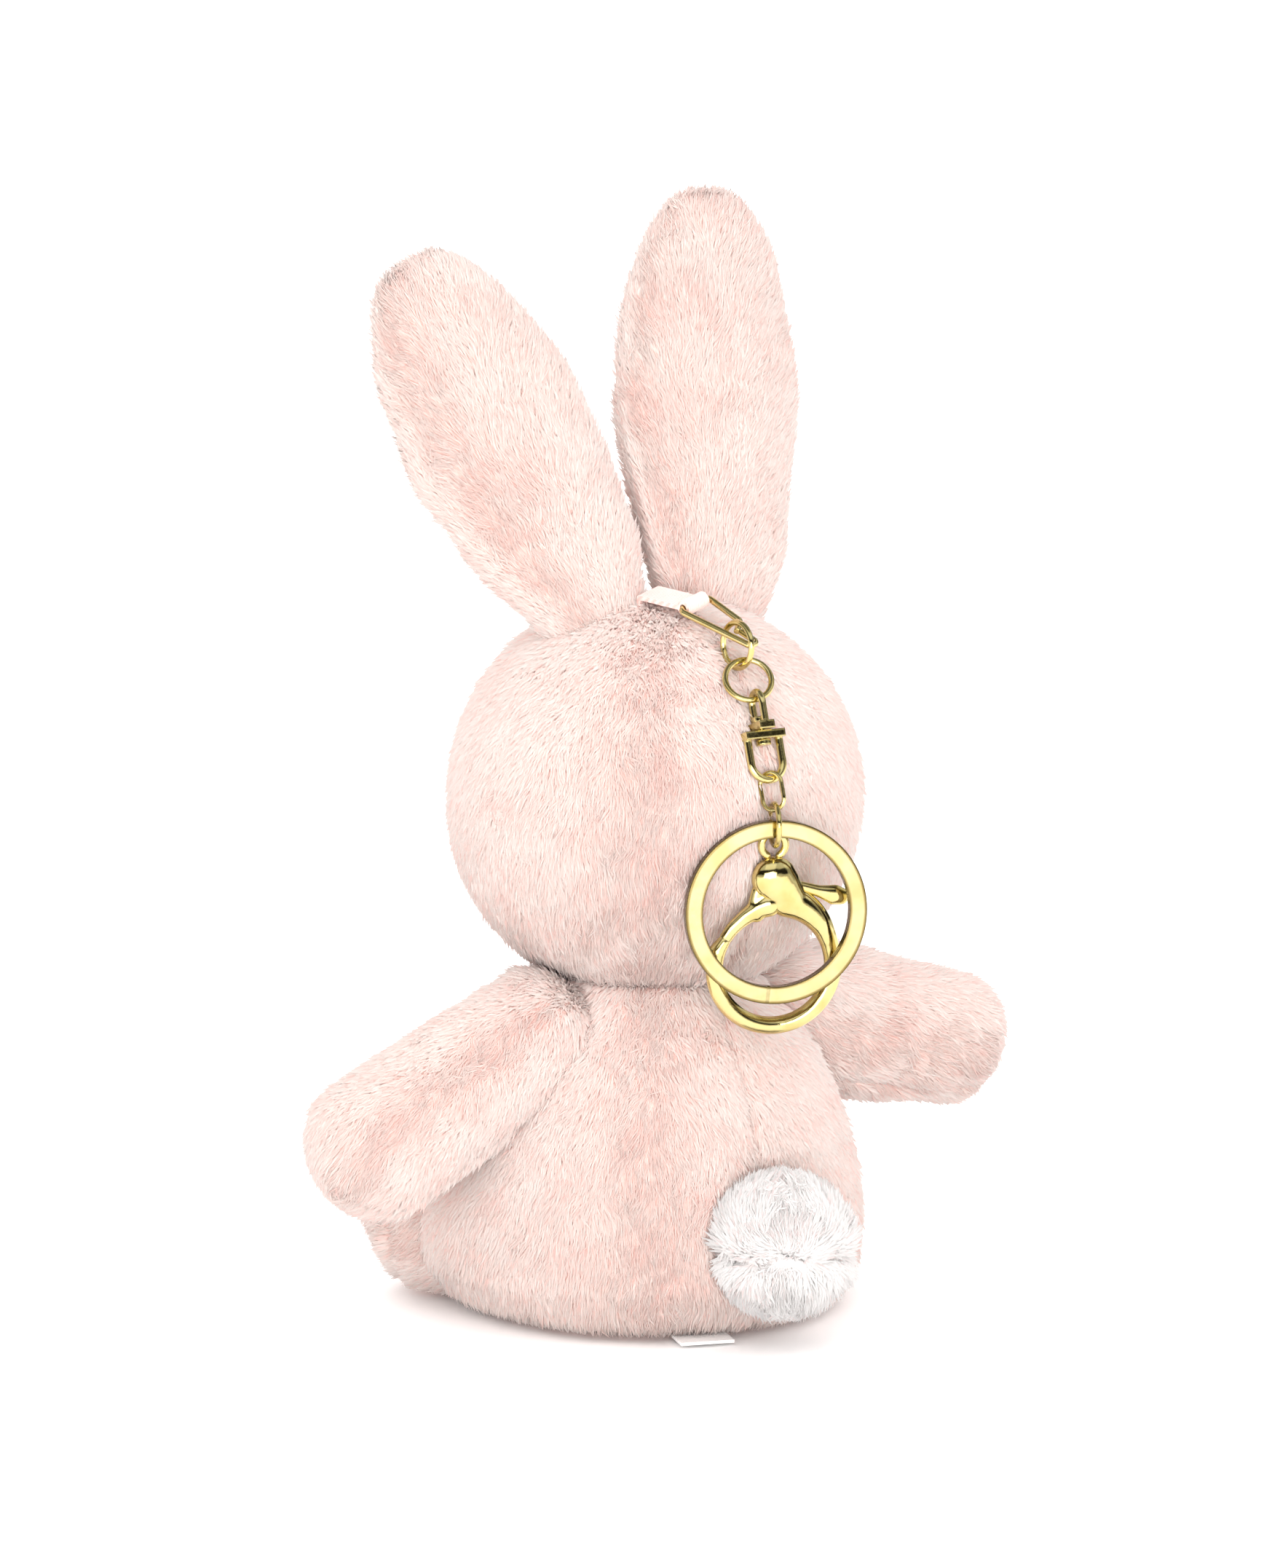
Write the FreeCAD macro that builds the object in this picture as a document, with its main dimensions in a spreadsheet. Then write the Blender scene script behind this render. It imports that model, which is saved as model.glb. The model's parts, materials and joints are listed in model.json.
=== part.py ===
import FreeCAD, Part
import math
import os
from FreeCAD import Placement, Rotation, Vector

# Plush bunny keychain: a sitting stuffed toy, ribbon tab, swivel chain, split ring and lobster clasp.
# Millimetres. +Z up, the bunny faces -Y, its left side is +X. The base stands on Z = 0.

SIZES = [
    ("cloth", 1.2, "thickness of the plush backing"),
    ("ease", 0.2, "gap between a cover and its filling"),
    ("head_r", 32.2, "head radius"),
    ("head_z", 86.3, "height of the head's centre"),
    ("torso_r", 33.3, "torso radius"),
    ("torso_z", 19.2, "height of the torso's centre"),
    ("base_r", 27.2, "radius of the flat base"),
    ("socket", 0.35, "gap round a limb's rounded root"),
    ("arm_root_r", 9.5, "arm radius at the shoulder"),
    ("arm_tip_r", 11.3, "arm radius at the mitten"),
    ("arm_len", 29.5, "shoulder centre to mitten centre"),
    ("arm_x", 27.0, "shoulder centre from the middle"),
    ("arm_y", 2.0, "shoulder centre behind the middle"),
    ("arm_z", 46.5, "shoulder height"),
    ("leg_root_r", 13.5, "leg radius at the hip"),
    ("leg_tip_r", 14.0, "leg radius at the foot"),
    ("leg_len", 13.0, "hip centre to foot centre"),
    ("leg_x", 16.0, "hip centre from the middle"),
    ("leg_y", -14.0, "hip centre in front of the middle"),
    ("leg_z", 14.5, "hip height"),
    ("ear_half_len", 38.0, "half the length of the ear's full oval"),
    ("ear_mid", 28.0, "oval's centre above the ear's foot"),
    ("ear_half_wide", 15.5, "half the ear's width"),
    ("ear_half_thick", 4.5, "half the ear's thickness"),
    ("ear_x", 12.0, "ear foot from the middle"),
    ("ear_z", 119.4, "ear foot height"),
    ("tail_r", 10.5, "tail radius"),
    ("tail_y", 40.0, "tail centre behind the middle"),
    ("tail_z", 17.0, "tail height"),
    ("eye_r", 3.6, "eye dome radius"),
    ("eye_x", 12.5, "eye from the middle"),
    ("eye_z", 87.0, "eye height"),
    ("eye_out", 29.2, "eye dome's centre in front of the middle"),
    ("stem_r", 1.4, "eye stem radius"),
    ("stem_len", 7.0, "eye stem length"),
    ("nose_wide", 3.4, "half the nose pad's width"),
    ("nose_tall", 2.1, "half the nose pad's height"),
    ("nose_deep", 1.6, "half the nose pad's depth"),
    ("nose_z", 79.0, "nose height"),
    ("nose_y", -31.5, "nose centre in front of the middle"),
    ("tab_wide", 4.8, "ribbon tab width"),
    ("tab_thick", 0.8, "both layers of the ribbon tab"),
    ("tab_eye_r", 1.35, "outside radius of the tab's loop round the wire"),
    ("tab_bore_r", 0.75, "inside radius of the tab's loop"),
    ("wire_r", 0.55, "snap wire radius"),
    ("bar_half", 3.3, "half the snap's bar"),
    ("snap_len", 13.2, "bar to hairpin centre"),
    ("hairpin_r", 0.8, "hairpin bend radius"),
    ("ring_a_r", 3.7, "upper jump ring, middle radius"),
    ("ring_b_r", 3.8, "lower jump ring, middle radius"),
    ("ring_wire", 0.5, "jump ring wire radius"),
    ("bail_r", 2.0, "upper bail bend radius"),
    ("bail_wire", 0.6, "upper bail wire radius"),
    ("bail_leg", 3.0, "upper bail leg"),
    ("bridge", 1.3, "thickness of each bail's bridge"),
    ("bow_r", 2.8, "lower bail bend radius"),
    ("bow_wire", 0.65, "lower bail wire radius"),
    ("bow_leg", 3.9, "lower bail leg"),
    ("rivet_r", 0.65, "rivet shank radius"),
    ("rivet_head", 1.2, "rivet head radius"),
    ("head_high", 0.9, "rivet head height"),
    ("rivet_play", 0.15, "end play of the swivel"),
    ("turn_fit", 0.05, "radial clearance of a turning fit"),
    ("link_r", 1.9, "oval link end radius"),
    ("link_leg", 2.4, "oval link straight side"),
    ("link_wire", 0.36, "oval link wire radius"),
    ("joiner_r", 3.4, "joining ring, middle radius"),
    ("joiner_wire", 0.45, "joining ring wire radius"),
    ("beside", 0.95, "split ring and clasp eye each side of the joining ring's middle"),
    ("key_rest", 1.9, "split ring's inside edge below the joining ring's middle"),
    ("eye_rest", 1.62, "clasp eye's top wire below the joining ring's middle"),
    ("key_od_r", 15.0, "split ring outside radius"),
    ("key_band", 2.8, "split ring radial width"),
    ("key_turn", 0.87, "thickness of one turn of the split ring"),
    ("key_groove", 0.06, "gap line between the two turns"),
    ("clasp_eye_r", 2.0, "clasp eye, middle radius"),
    ("clasp_eye_wire", 0.7, "clasp eye wire radius"),
    ("clasp_neck", 5.4, "clasp eye centre above its hinge pin"),
    ("clasp_bow_r", 9.6, "clasp hook, middle radius"),
    ("clasp_bow_z", 15.0, "clasp hook centre below the pin"),
    ("clasp_bow_x", 0.9, "clasp hook centre beside the pin"),
    ("clasp_wire", 1.5, "clasp hook bar radius"),
    ("boss_r", 3.0, "clasp hinge cheek radius"),
    ("boss_wide", 4.2, "clasp hinge width over both cheeks"),
    ("slot_r", 3.3, "clasp hinge slot radius"),
    ("slot_wide", 1.9, "clasp hinge slot width"),
    ("lug_r", 2.4, "gate lug radius"),
    ("lug_wide", 1.6, "gate lug width"),
    ("gate_wire", 1.15, "gate bar radius"),
    ("gate_gap", 0.16, "gap between the gate's end and the hook"),
    ("lever_rise", 6.0, "thumb lever's crook beside the pin"),
    ("lever_len", 11.5, "thumb lever's end beside the pin"),
    ("lever_half", 0.85, "half the thumb lever's height"),
    ("pin_r", 0.8, "hinge pin radius"),
    ("coil_r", 1.45, "spring coil middle radius"),
    ("coil_wire", 0.25, "spring wire radius"),
    ("label_wide", 9.0, "care label width"),
    ("label_long", 6.0, "care label length outside the seam"),
    ("label_thick", 0.5, "both layers of the care label"),
]

doc = FreeCAD.newDocument("plush_keychain")
sheet = doc.addObject("Spreadsheet::Sheet", "Sizes")
for row, (alias, value, note) in enumerate(SIZES, start=1):
    sheet.set(f"A{row}", alias)
    sheet.set(f"B{row}", str(value))
    sheet.set(f"C{row}", note)
    sheet.setAlias(f"B{row}", alias)
doc.recompute()

NODES = []


def size(alias):
    """One number of the sheet, for the few places that need trigonometry."""
    return float(getattr(sheet, alias))


def bind(obj, **fields):
    """Bind properties to sheet expressions; names in the text are sheet aliases."""
    for field, text in fields.items():
        obj.setExpression(field, in_sheet(text))
    return obj


def in_sheet(text):
    """Put the sheet's name before every alias of an expression."""
    words = []
    word = ""
    for letter in text + " ":
        if letter.isalnum() or letter == "_":
            word += letter
            continue
        words.append("Sizes." + word if word in ALIASES else word)
        words.append(letter)
        word = ""
    return "".join(words).strip()


ALIASES = {alias for alias, value, note in SIZES}


def move(obj, x="0", y="0", z="0", turn=None):
    """Bind an object's position to three expressions; turn is a fixed rotation."""
    obj.Placement = Placement(Vector(), turn or Rotation())
    for axis, text in zip("xyz", (x, y, z), strict=True):
        obj.setExpression(f"Placement.Base.{axis}", in_sheet(text))
    return obj


def primitive(kind, name, **fields):
    return bind(doc.addObject(f"Part::{kind}", name), **fields)


def sphere(name, radius):
    return primitive("Sphere", name, Radius=radius)


def cylinder(name, radius, height):
    return primitive("Cylinder", name, Radius=radius, Height=height)


def box(name, length, width, height):
    return primitive("Box", name, Length=length, Width=width, Height=height)


def fuse(name, *shapes):
    made = doc.addObject("Part::MultiFuse", name)
    made.Shapes = list(shapes)
    return made


def cut(name, base, tool):
    made = doc.addObject("Part::Cut", name)
    made.Base = base
    made.Tool = tool
    return made


def common(name, *shapes):
    made = doc.addObject("Part::MultiCommon", name)
    made.Shapes = list(shapes)
    return made


def node(obj, label):
    """Name a finished sub-part and list it for export."""
    obj.Label = label
    NODES.append(obj)
    return obj


def half_space(name, x, y, z):
    """A large box whose low corner is at the given point."""
    made = box(name, "400", "400", "400")
    return move(made, str(x), str(y), str(z))


def origin_plane(body, role):
    return next(f for f in body.Origin.OriginFeatures if f.Role == role)


def new_sketch(body, name, role):
    sketch = body.newObject("Sketcher::SketchObject", name)
    sketch.AttachmentSupport = [(origin_plane(body, role), "")]
    sketch.MapMode = "FlatFace"
    return sketch


def at(x, y):
    return Vector(x, y, 0)


def locate(sketch, edge, point, x, y):
    """Dimension one sketch point from the origin with two expressions."""
    import Sketcher

    spot = sketch.getPoint(edge, point)
    for kind, text, now in (("DistanceX", x, spot.x), ("DistanceY", y, spot.y)):
        index = sketch.addConstraint(Sketcher.Constraint(kind, -1, 1, edge, point, now))
        sketch.setExpression(f"Constraints[{index}]", in_sheet(text))


def join(sketch, *pairs):
    import Sketcher

    for first, second in pairs:
        sketch.addConstraint(Sketcher.Constraint("Coincident", first, 2, second, 1))


# --- torso -----------------------------------------------------------------


def torso_solid(name, inset):
    """Ball with a flat base, smaller than the outside by an inset."""
    ball = move(sphere(name + "_ball", f"torso_r - {inset}"), z="torso_z")
    above = move(box(name + "_above", "400", "400", "400"), "0 - 200", "0 - 200", inset)
    return common(name, ball, above)


# --- limbs -----------------------------------------------------------------


def limb_solid(name, kind, grow):
    """Rounded stub along local +Z, its root sphere on the origin; grow may be negative."""
    root = sphere(name + "_root", f"{kind}_root_r + {grow}")
    side = primitive(
        "Cone",
        name + "_side",
        Radius1=f"{kind}_root_r + {grow}",
        Radius2=f"{kind}_tip_r + {grow}",
        Height=f"{kind}_len",
    )
    tip = move(sphere(name + "_tip", f"{kind}_tip_r + {grow}"), z=f"{kind}_len")
    return fuse(name, root, side, tip)


def along(direction):
    """Rotation that takes +Z to a direction."""
    return Rotation(Vector(0, 0, 1), Vector(*direction))


def limb_parts(name, kind, turn, spot, words):
    """Two cover panels, split along the limb, and the filling of one limb."""
    outer = limb_solid(name + "_outer", kind, "0")
    inner = limb_solid(name + "_inner", kind, "0 - cloth")
    shell = cut(name + "_shell", outer, inner)
    stuffing = limb_solid(name + "_stuffing", kind, "0 - cloth - ease")
    for word, start in zip(words, (-400, 0), strict=True):
        space = half_space(f"{name}_{word}_side", -200, start, -200)
        panel = common(f"{name}_{word}_panel", shell, space)
        node(move(panel, *spot, turn=turn), f"{name}_{word}")
    node(move(stuffing, *spot, turn=turn), f"{name}_filling")


def socket_tools(name, kind, turns, spot):
    """Room for a limb in three positions of its swing."""
    tools = []
    for step, turn in enumerate(turns):
        tool = limb_solid(f"{name}_room_{step}", kind, "socket")
        tools.append(move(tool, *spot, turn=turn))
    return tools


def arm_direction(side, slope, yaw):
    flat = math.cos(math.radians(slope))
    return (
        side * flat * math.cos(math.radians(yaw)),
        flat * math.sin(math.radians(yaw)),
        math.sin(math.radians(slope)),
    )


def arm_turn(side, slope, yaw):
    return along(arm_direction(side, slope, yaw))


LEFT_ARM = (1, -27, 0)
RIGHT_ARM = (-1, -10, 5)
LEFT_SHOULDER = ("arm_x", "arm_y", "arm_z")
RIGHT_SHOULDER = ("0 - arm_x", "arm_y", "arm_z")
LEFT_HIP = ("leg_x", "leg_y", "leg_z")
RIGHT_HIP = ("0 - leg_x", "leg_y", "leg_z")
ARM_SWING = (-8, 9, 26)
LEG_SWING = (0, 15, 30)
LEG_SPLAY = 45


def leg_turn(side, lift):
    """Legs point forwards and outwards; side is 1 on the left and -1 on the right."""
    return arm_turn(side, lift, LEG_SPLAY - 90)


def make_limbs():
    faces = ("front", "back")
    limb_parts("arm_left", "arm", arm_turn(*LEFT_ARM), LEFT_SHOULDER, faces)
    limb_parts("arm_right", "arm", arm_turn(*RIGHT_ARM), RIGHT_SHOULDER, faces)
    faces = ("sole", "top")
    limb_parts("leg_left", "leg", leg_turn(1, 0), LEFT_HIP, faces)
    limb_parts("leg_right", "leg", leg_turn(-1, 0), RIGHT_HIP, faces)


def make_sockets():
    tools = []
    for name, (side, slope, yaw), spot in (
        ("arm_left", LEFT_ARM, LEFT_SHOULDER),
        ("arm_right", RIGHT_ARM, RIGHT_SHOULDER),
    ):
        turns = [arm_turn(side, slope + swing, yaw) for swing in ARM_SWING]
        tools += socket_tools(name, "arm", turns, spot)
    for name, side, spot in (("leg_left", 1, LEFT_HIP), ("leg_right", -1, RIGHT_HIP)):
        tools += socket_tools(name, "leg", [leg_turn(side, lift) for lift in LEG_SWING], spot)
    return fuse("limb_sockets", *tools)


def make_torso():
    """Base disc, belly panel, two back panels and the filling, with room for the limbs."""
    sockets = make_sockets()
    outer = torso_solid("torso_outer", "0")
    inner = torso_solid("torso_inner", "cloth")
    stuffing = torso_solid("torso_stuffing", "(cloth + ease)")
    shell = cut("torso_shell", cut("torso_hollow", outer, inner), sockets)
    above = move(box("torso_above_base", "400", "400", "400"), "0 - 200", "0 - 200", "cloth")
    wall = common("torso_wall", shell, above)
    base = cut("torso_base_disc", shell, above)
    node(move(base), "body_base")
    front = half_space("torso_front_side", -200, -400, -200)
    back_left = half_space("torso_back_left_side", 0, 0, -200)
    back_right = half_space("torso_back_right_side", -400, 0, -200)
    node(move(common("torso_belly", wall, front)), "body_belly")
    node(move(common("torso_back_left", wall, back_left)), "body_back_left")
    node(move(common("torso_back_right", wall, back_right)), "body_back_right")
    node(move(cut("torso_filling", stuffing, sockets)), "body_filling")


# --- head, face, ears and tail ----------------------------------------------


def head_ball(name, inset):
    return move(sphere(name, f"head_r - {inset}"), z="head_z")


def eye_shape(name, side, grow):
    """Dome and stem of a safety eye, pointing forward."""
    dome = sphere(name + "_dome", f"eye_r + {grow}")
    stem = move(
        cylinder(name + "_stem", f"stem_r + {grow}", f"stem_len + {grow}"),
        turn=Rotation(Vector(1, 0, 0), -90),
    )
    made = fuse(name, dome, stem)
    x = "eye_x" if side > 0 else "0 - eye_x"
    return move(made, x, "0 - eye_out", "eye_z")


def make_head():
    rooms = [eye_shape("eye_left_room", 1, "turn_fit"), eye_shape("eye_right_room", -1, "turn_fit")]
    room = fuse("eye_rooms", *rooms)
    hollow = cut("head_hollow", head_ball("head_outer", "0"), head_ball("head_inner", "cloth"))
    shell = cut("head_shell", hollow, room)
    left = half_space("head_left_side", 0, -200, -200)
    right = half_space("head_right_side", -400, -200, -200)
    node(move(common("head_left_panel", shell, left)), "head_left")
    node(move(common("head_right_panel", shell, right)), "head_right")
    stuffing = head_ball("head_stuffing", "cloth - ease")
    node(move(cut("head_stuffed", stuffing, room)), "head_filling")
    node(eye_shape("eye_left_solid", 1, "0"), "eye_left")
    node(eye_shape("eye_right_solid", -1, "0"), "eye_right")
    pad = primitive("Ellipsoid", "nose_pad", Radius1="nose_deep", Radius2="nose_wide", Radius3="nose_tall")
    move(pad, "0", "nose_y", "nose_z", turn=Rotation(Vector(1, 0, 0), 90))
    node(move(cut("nose_stitched", pad, head_ball("nose_seat", "(0 - turn_fit)"))), "nose")


def ear_oval(name, inset):
    oval = primitive(
        "Ellipsoid",
        name,
        Radius1=f"ear_half_len - {inset}",
        Radius2=f"ear_half_wide - {inset}",
        Radius3=f"ear_half_thick - {inset}",
    )
    return move(oval, z="ear_mid")


def ear_turn(outward, forward):
    return Rotation(Vector(0, 1, 0), outward).multiply(Rotation(Vector(1, 0, 0), forward))


def make_ear(name, x, outward, forward):
    """Two panels and a thin filling, the foot cut flat across the hinge line."""
    shell = cut(name + "_hollow", ear_oval(name + "_outer", "0"), ear_oval(name + "_inner", "cloth"))
    turn = ear_turn(outward, forward)
    for word, start in (("front", -400), ("back", 0)):
        space = half_space(f"{name}_{word}_side", -200, start, 0)
        panel = common(f"{name}_{word}_panel", shell, space)
        node(move(panel, x, "0", "ear_z", turn=turn), f"{name}_{word}")
    above = half_space(name + "_above_foot", -200, -200, 0)
    wadding = common(name + "_wadding", ear_oval(name + "_pad", "cloth - ease"), above)
    node(move(wadding, x, "0", "ear_z", turn=turn), f"{name}_filling")


def make_tail():
    def ball(name, inset):
        return move(sphere(name, f"tail_r - {inset}"), "0", "tail_y", "tail_z")

    rump = torso_solid("tail_seat", "(0 - turn_fit)")
    hollow = cut("tail_hollow", ball("tail_outer", "0"), ball("tail_inner", "cloth"))
    node(move(cut("tail_shell", hollow, rump)), "tail_cover")
    stuffing = ball("tail_stuffing", "cloth - ease")
    node(move(cut("tail_stuffed", stuffing, rump)), "tail_filling")


def make_label():
    """Folded care label that peeks out from the base seam behind the left hip."""
    angle = 17
    turn = Rotation(Vector(0, 0, 1), -angle)
    side = math.sin(math.radians(angle))
    back = math.cos(math.radians(angle))
    slip = box("label_slip", "label_wide", "label_long", "label_thick")
    x = f"(base_r + 1) * {side} - label_wide / 2 * {back}"
    y = f"(base_r + 1) * {back} + label_wide / 2 * {side}"
    node(move(slip, x, y, "0.15", turn=turn), "care_label")


# --- ribbon tab and chain ----------------------------------------------------

SNAP_SPOT = Vector(2.2, 15.8, 119.85)
SNAP_HEADING = 16.4
SNAP_SLOPE = 25.1
SNAP_ROLL = -9.6


def snap_turn():
    """Local +X runs along the bar to the bunny's right, +Y runs down the chain."""
    heading = math.radians(SNAP_HEADING)
    slope = math.radians(SNAP_SLOPE)
    down = Vector(0, math.cos(slope), -math.sin(slope))
    across = Vector(-1, 0, 0)
    along_chain = down * math.cos(heading) + across * math.sin(heading)
    along_bar = across * math.cos(heading) - down * math.sin(heading)
    roll = Rotation(along_chain, -SNAP_ROLL)
    along_bar = roll.multVec(along_bar)
    return Rotation(along_bar, along_chain, along_bar.cross(along_chain), "ZXY")


def bent_wire(label, points, bends, radius, spot, turn):
    """A round wire along a flat path of straight runs with rounded corners."""
    edges = []
    start = points[0]
    for index in range(1, len(points) - 1):
        corner = points[index]
        to_last = (points[index - 1] - corner).normalize()
        to_next = (points[index + 1] - corner).normalize()
        half = to_last.getAngle(to_next) / 2
        reach = bends[index - 1] / math.tan(half)
        first = corner + to_last * reach
        second = corner + to_next * reach
        middle = corner + (to_last + to_next).normalize() * (bends[index - 1] / math.sin(half))
        inward = (corner - middle).normalize() * bends[index - 1]
        edges.append(Part.LineSegment(start, first).toShape())
        edges.append(Part.Arc(first, middle + inward, second).toShape())
        start = second
    edges.append(Part.LineSegment(start, points[-1]).toShape())
    path = Part.Wire(edges)
    circle = Part.Circle(points[0], points[1] - points[0], radius).toShape()
    solid = path.makePipeShell([Part.Wire(circle)], True, True)
    made = doc.addObject("Part::Feature", label)
    made.Shape = solid
    made.Placement = Placement(spot, turn)
    return node(made, label)


def make_snap():
    """Bent-wire keeper: bar in the ribbon, a long hairpin leg and a short leg that latches on it."""
    half = size("bar_half")
    end = size("snap_len")
    pin = size("hairpin_r")
    points = [
        at(0.6 + 2 * pin - 1.5, end - 3.0),
        at(0.6 + 2 * pin - 1.5, end + pin),
        at(0.6 - 1.5, end + pin),
        at(-half, 0),
        at(half, 0),
        at(half - 0.5, end - 5.2),
        at(0.25, end - 3.4),
    ]
    bends = [pin * 0.98, pin * 0.98, 1.0, 1.0, 1.2]
    return bent_wire("wire_snap", points, bends, size("wire_r"), SNAP_SPOT, snap_turn())


def strap(name, start, end):
    """Flat run of ribbon between two points of the tab's side view, rounded at its start."""
    run = end - start
    turn = Rotation(Vector(0, 0, 1), math.degrees(math.atan2(run.y, run.x)))
    flat = box(name + "_flat", str(run.Length), "tab_thick", "tab_wide")
    corner = Vector(0, -size("tab_thick") / 2, -size("tab_wide") / 2)
    flat.Placement = Placement(start + turn.multVec(corner), turn)
    fold = cylinder(name + "_fold", "tab_thick / 2", "tab_wide")
    fold.Placement = Placement(start - Vector(0, 0, size("tab_wide") / 2), Rotation())
    return [flat, fold]


def make_tab():
    """Ribbon tab: two layers from the crown seam to a loop round the snap's bar."""
    bore = cylinder("tab_bore", "tab_bore_r", "tab_wide + 2")
    loop = cylinder("tab_loop", "tab_eye_r", "tab_wide")
    move(loop, z="0 - tab_wide / 2")
    move(bore, z="0 - tab_wide / 2 - 1")
    crown = Vector(0, -10.4, 0)
    runs = strap("tab_run", Vector(), crown) + strap("tab_rise", crown, Vector(-4.2, -11.6, 0))
    made = cut("tab_sewn", fuse("tab_outline", loop, *runs), bore)
    bar = snap_turn().multVec(Vector(1, 0, 0))
    back = Vector(-0.1, 0.985, -0.13)
    back = (back - bar * back.dot(bar)).normalize()
    made.Placement = Placement(SNAP_SPOT, Rotation(back.cross(bar), back, bar, "ZYX"))
    fitted = cut("tab_fitted", made, head_ball("tab_seat", "(0 - turn_fit)"))
    return node(move(fitted), "ribbon_tab")


def ring(label, radius, wire, spot, normal):
    made = primitive("Torus", label, Radius1=radius, Radius2=wire)
    made.Placement = Placement(Vector(*spot), along(normal))
    return node(made, label)


def bow(name, bend, wire, leg):
    """A U of round wire: bend at the origin's +Z side, legs running down to -Z."""
    arch = primitive("Torus", name + "_arch", Radius1=bend, Radius2=wire)
    arch.Angle3 = 180
    arch.Placement = Placement(Vector(), Rotation(Vector(1, 0, 0), 90))
    legs = []
    for side, word in ((1, "right"), (-1, "left")):
        bar = cylinder(f"{name}_{word}_leg", wire, leg)
        x = bend if side > 0 else f"0 - {bend}"
        legs.append(move(bar, x, "0", f"0 - {leg}"))
    return [arch] + legs


SWIVEL_TOP = Vector(0, 31.0, 106.7)
SWIVEL_FOOT = Vector(0, 35.3, 92.9)


def swivel_turn(face):
    """Local -Z runs down the swivel; face turns the bail about that line."""
    up = (SWIVEL_TOP - SWIVEL_FOOT).normalize()
    return along(up).multiply(Rotation(Vector(0, 0, 1), face))


def make_swivel():
    up = (SWIVEL_TOP - SWIVEL_FOOT).normalize()
    bend = bow("bail", "bail_r", "bail_wire", "bail_leg")
    plate = box("bail_plate", "2 * bail_r + 2 * bail_wire", "2.6", "bridge")
    move(plate, "0 - bail_r - bail_wire", "0 - 1.3", "0 - bail_leg - bridge")
    hole = move(cylinder("bail_hole", "rivet_r", "bridge + 2"), z="0 - bail_leg - bridge - 1")
    upper = cut("bail_drilled", fuse("bail_blank", plate, *bend), hole)
    upper.Placement = Placement(SWIVEL_TOP - up * size("bail_r"), swivel_turn(82))
    node(upper, "swivel_upper_bail")

    bend = bow("bow", "bow_r", "bow_wire", "bow_leg")
    plate = box("bow_plate", "2 * bow_r + 2 * bow_wire", "3.0", "bridge")
    move(plate, "0 - bow_r - bow_wire", "0 - 1.5", "0 - bow_leg - bridge")
    hole = move(cylinder("bow_hole", "rivet_r + turn_fit", "bridge + 2"), z="0 - bow_leg - bridge - 1")
    lower = cut("bow_drilled", fuse("bow_blank", plate, *bend), hole)
    flip = Rotation(Vector(1, 0, 0), 180)
    lower.Placement = Placement(SWIVEL_FOOT + up * size("bow_r"), swivel_turn(-8).multiply(flip))
    node(lower, "swivel_lower_bail")

    shank_len = "2 * bridge + 2 * rivet_play"
    shank = cylinder("rivet_shank", "rivet_r", shank_len)
    top = move(cylinder("rivet_top", "rivet_head", "head_high"), z=shank_len)
    foot = move(cylinder("rivet_foot", "rivet_head", "head_high"), z="0 - head_high")
    rivet = fuse("rivet_formed", shank, top, foot)
    reach = size("bail_r") + size("bail_leg") + 2 * size("bridge") + 2 * size("rivet_play")
    rivet.Placement = Placement(SWIVEL_TOP - up * reach, swivel_turn(0))
    node(rivet, "swivel_rivet")


def make_link(label, top, foot, face):
    """Oval link of round wire between two contact points on its middle line."""
    parts = []
    for side, word in ((1, "top"), (-1, "foot")):
        end = primitive("Torus", f"{label}_{word}", Radius1="link_r", Radius2="link_wire")
        end.Angle3 = 180
        turn = Rotation(Vector(1, 0, 0), 90 * side)
        z = "link_leg / 2" if side > 0 else "0 - link_leg / 2"
        parts.append(move(end, z=z, turn=turn))
        bar = cylinder(f"{label}_{word}_bar", "link_wire", "link_leg")
        x = "link_r" if side > 0 else "0 - link_r"
        parts.append(move(bar, x, "0", "0 - link_leg / 2"))
    made = fuse(label + "_bent", *parts)
    up = (top - foot).normalize()
    made.Placement = Placement((top + foot) / 2, along(up).multiply(Rotation(Vector(0, 0, 1), face)))
    return node(made, label)


JOINER_SPOT = Vector(0, 36.8, 85.75)
FACE_YAW = 21
OUTWARD = Vector(math.sin(math.radians(FACE_YAW)), math.cos(math.radians(FACE_YAW)), 0)


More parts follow.
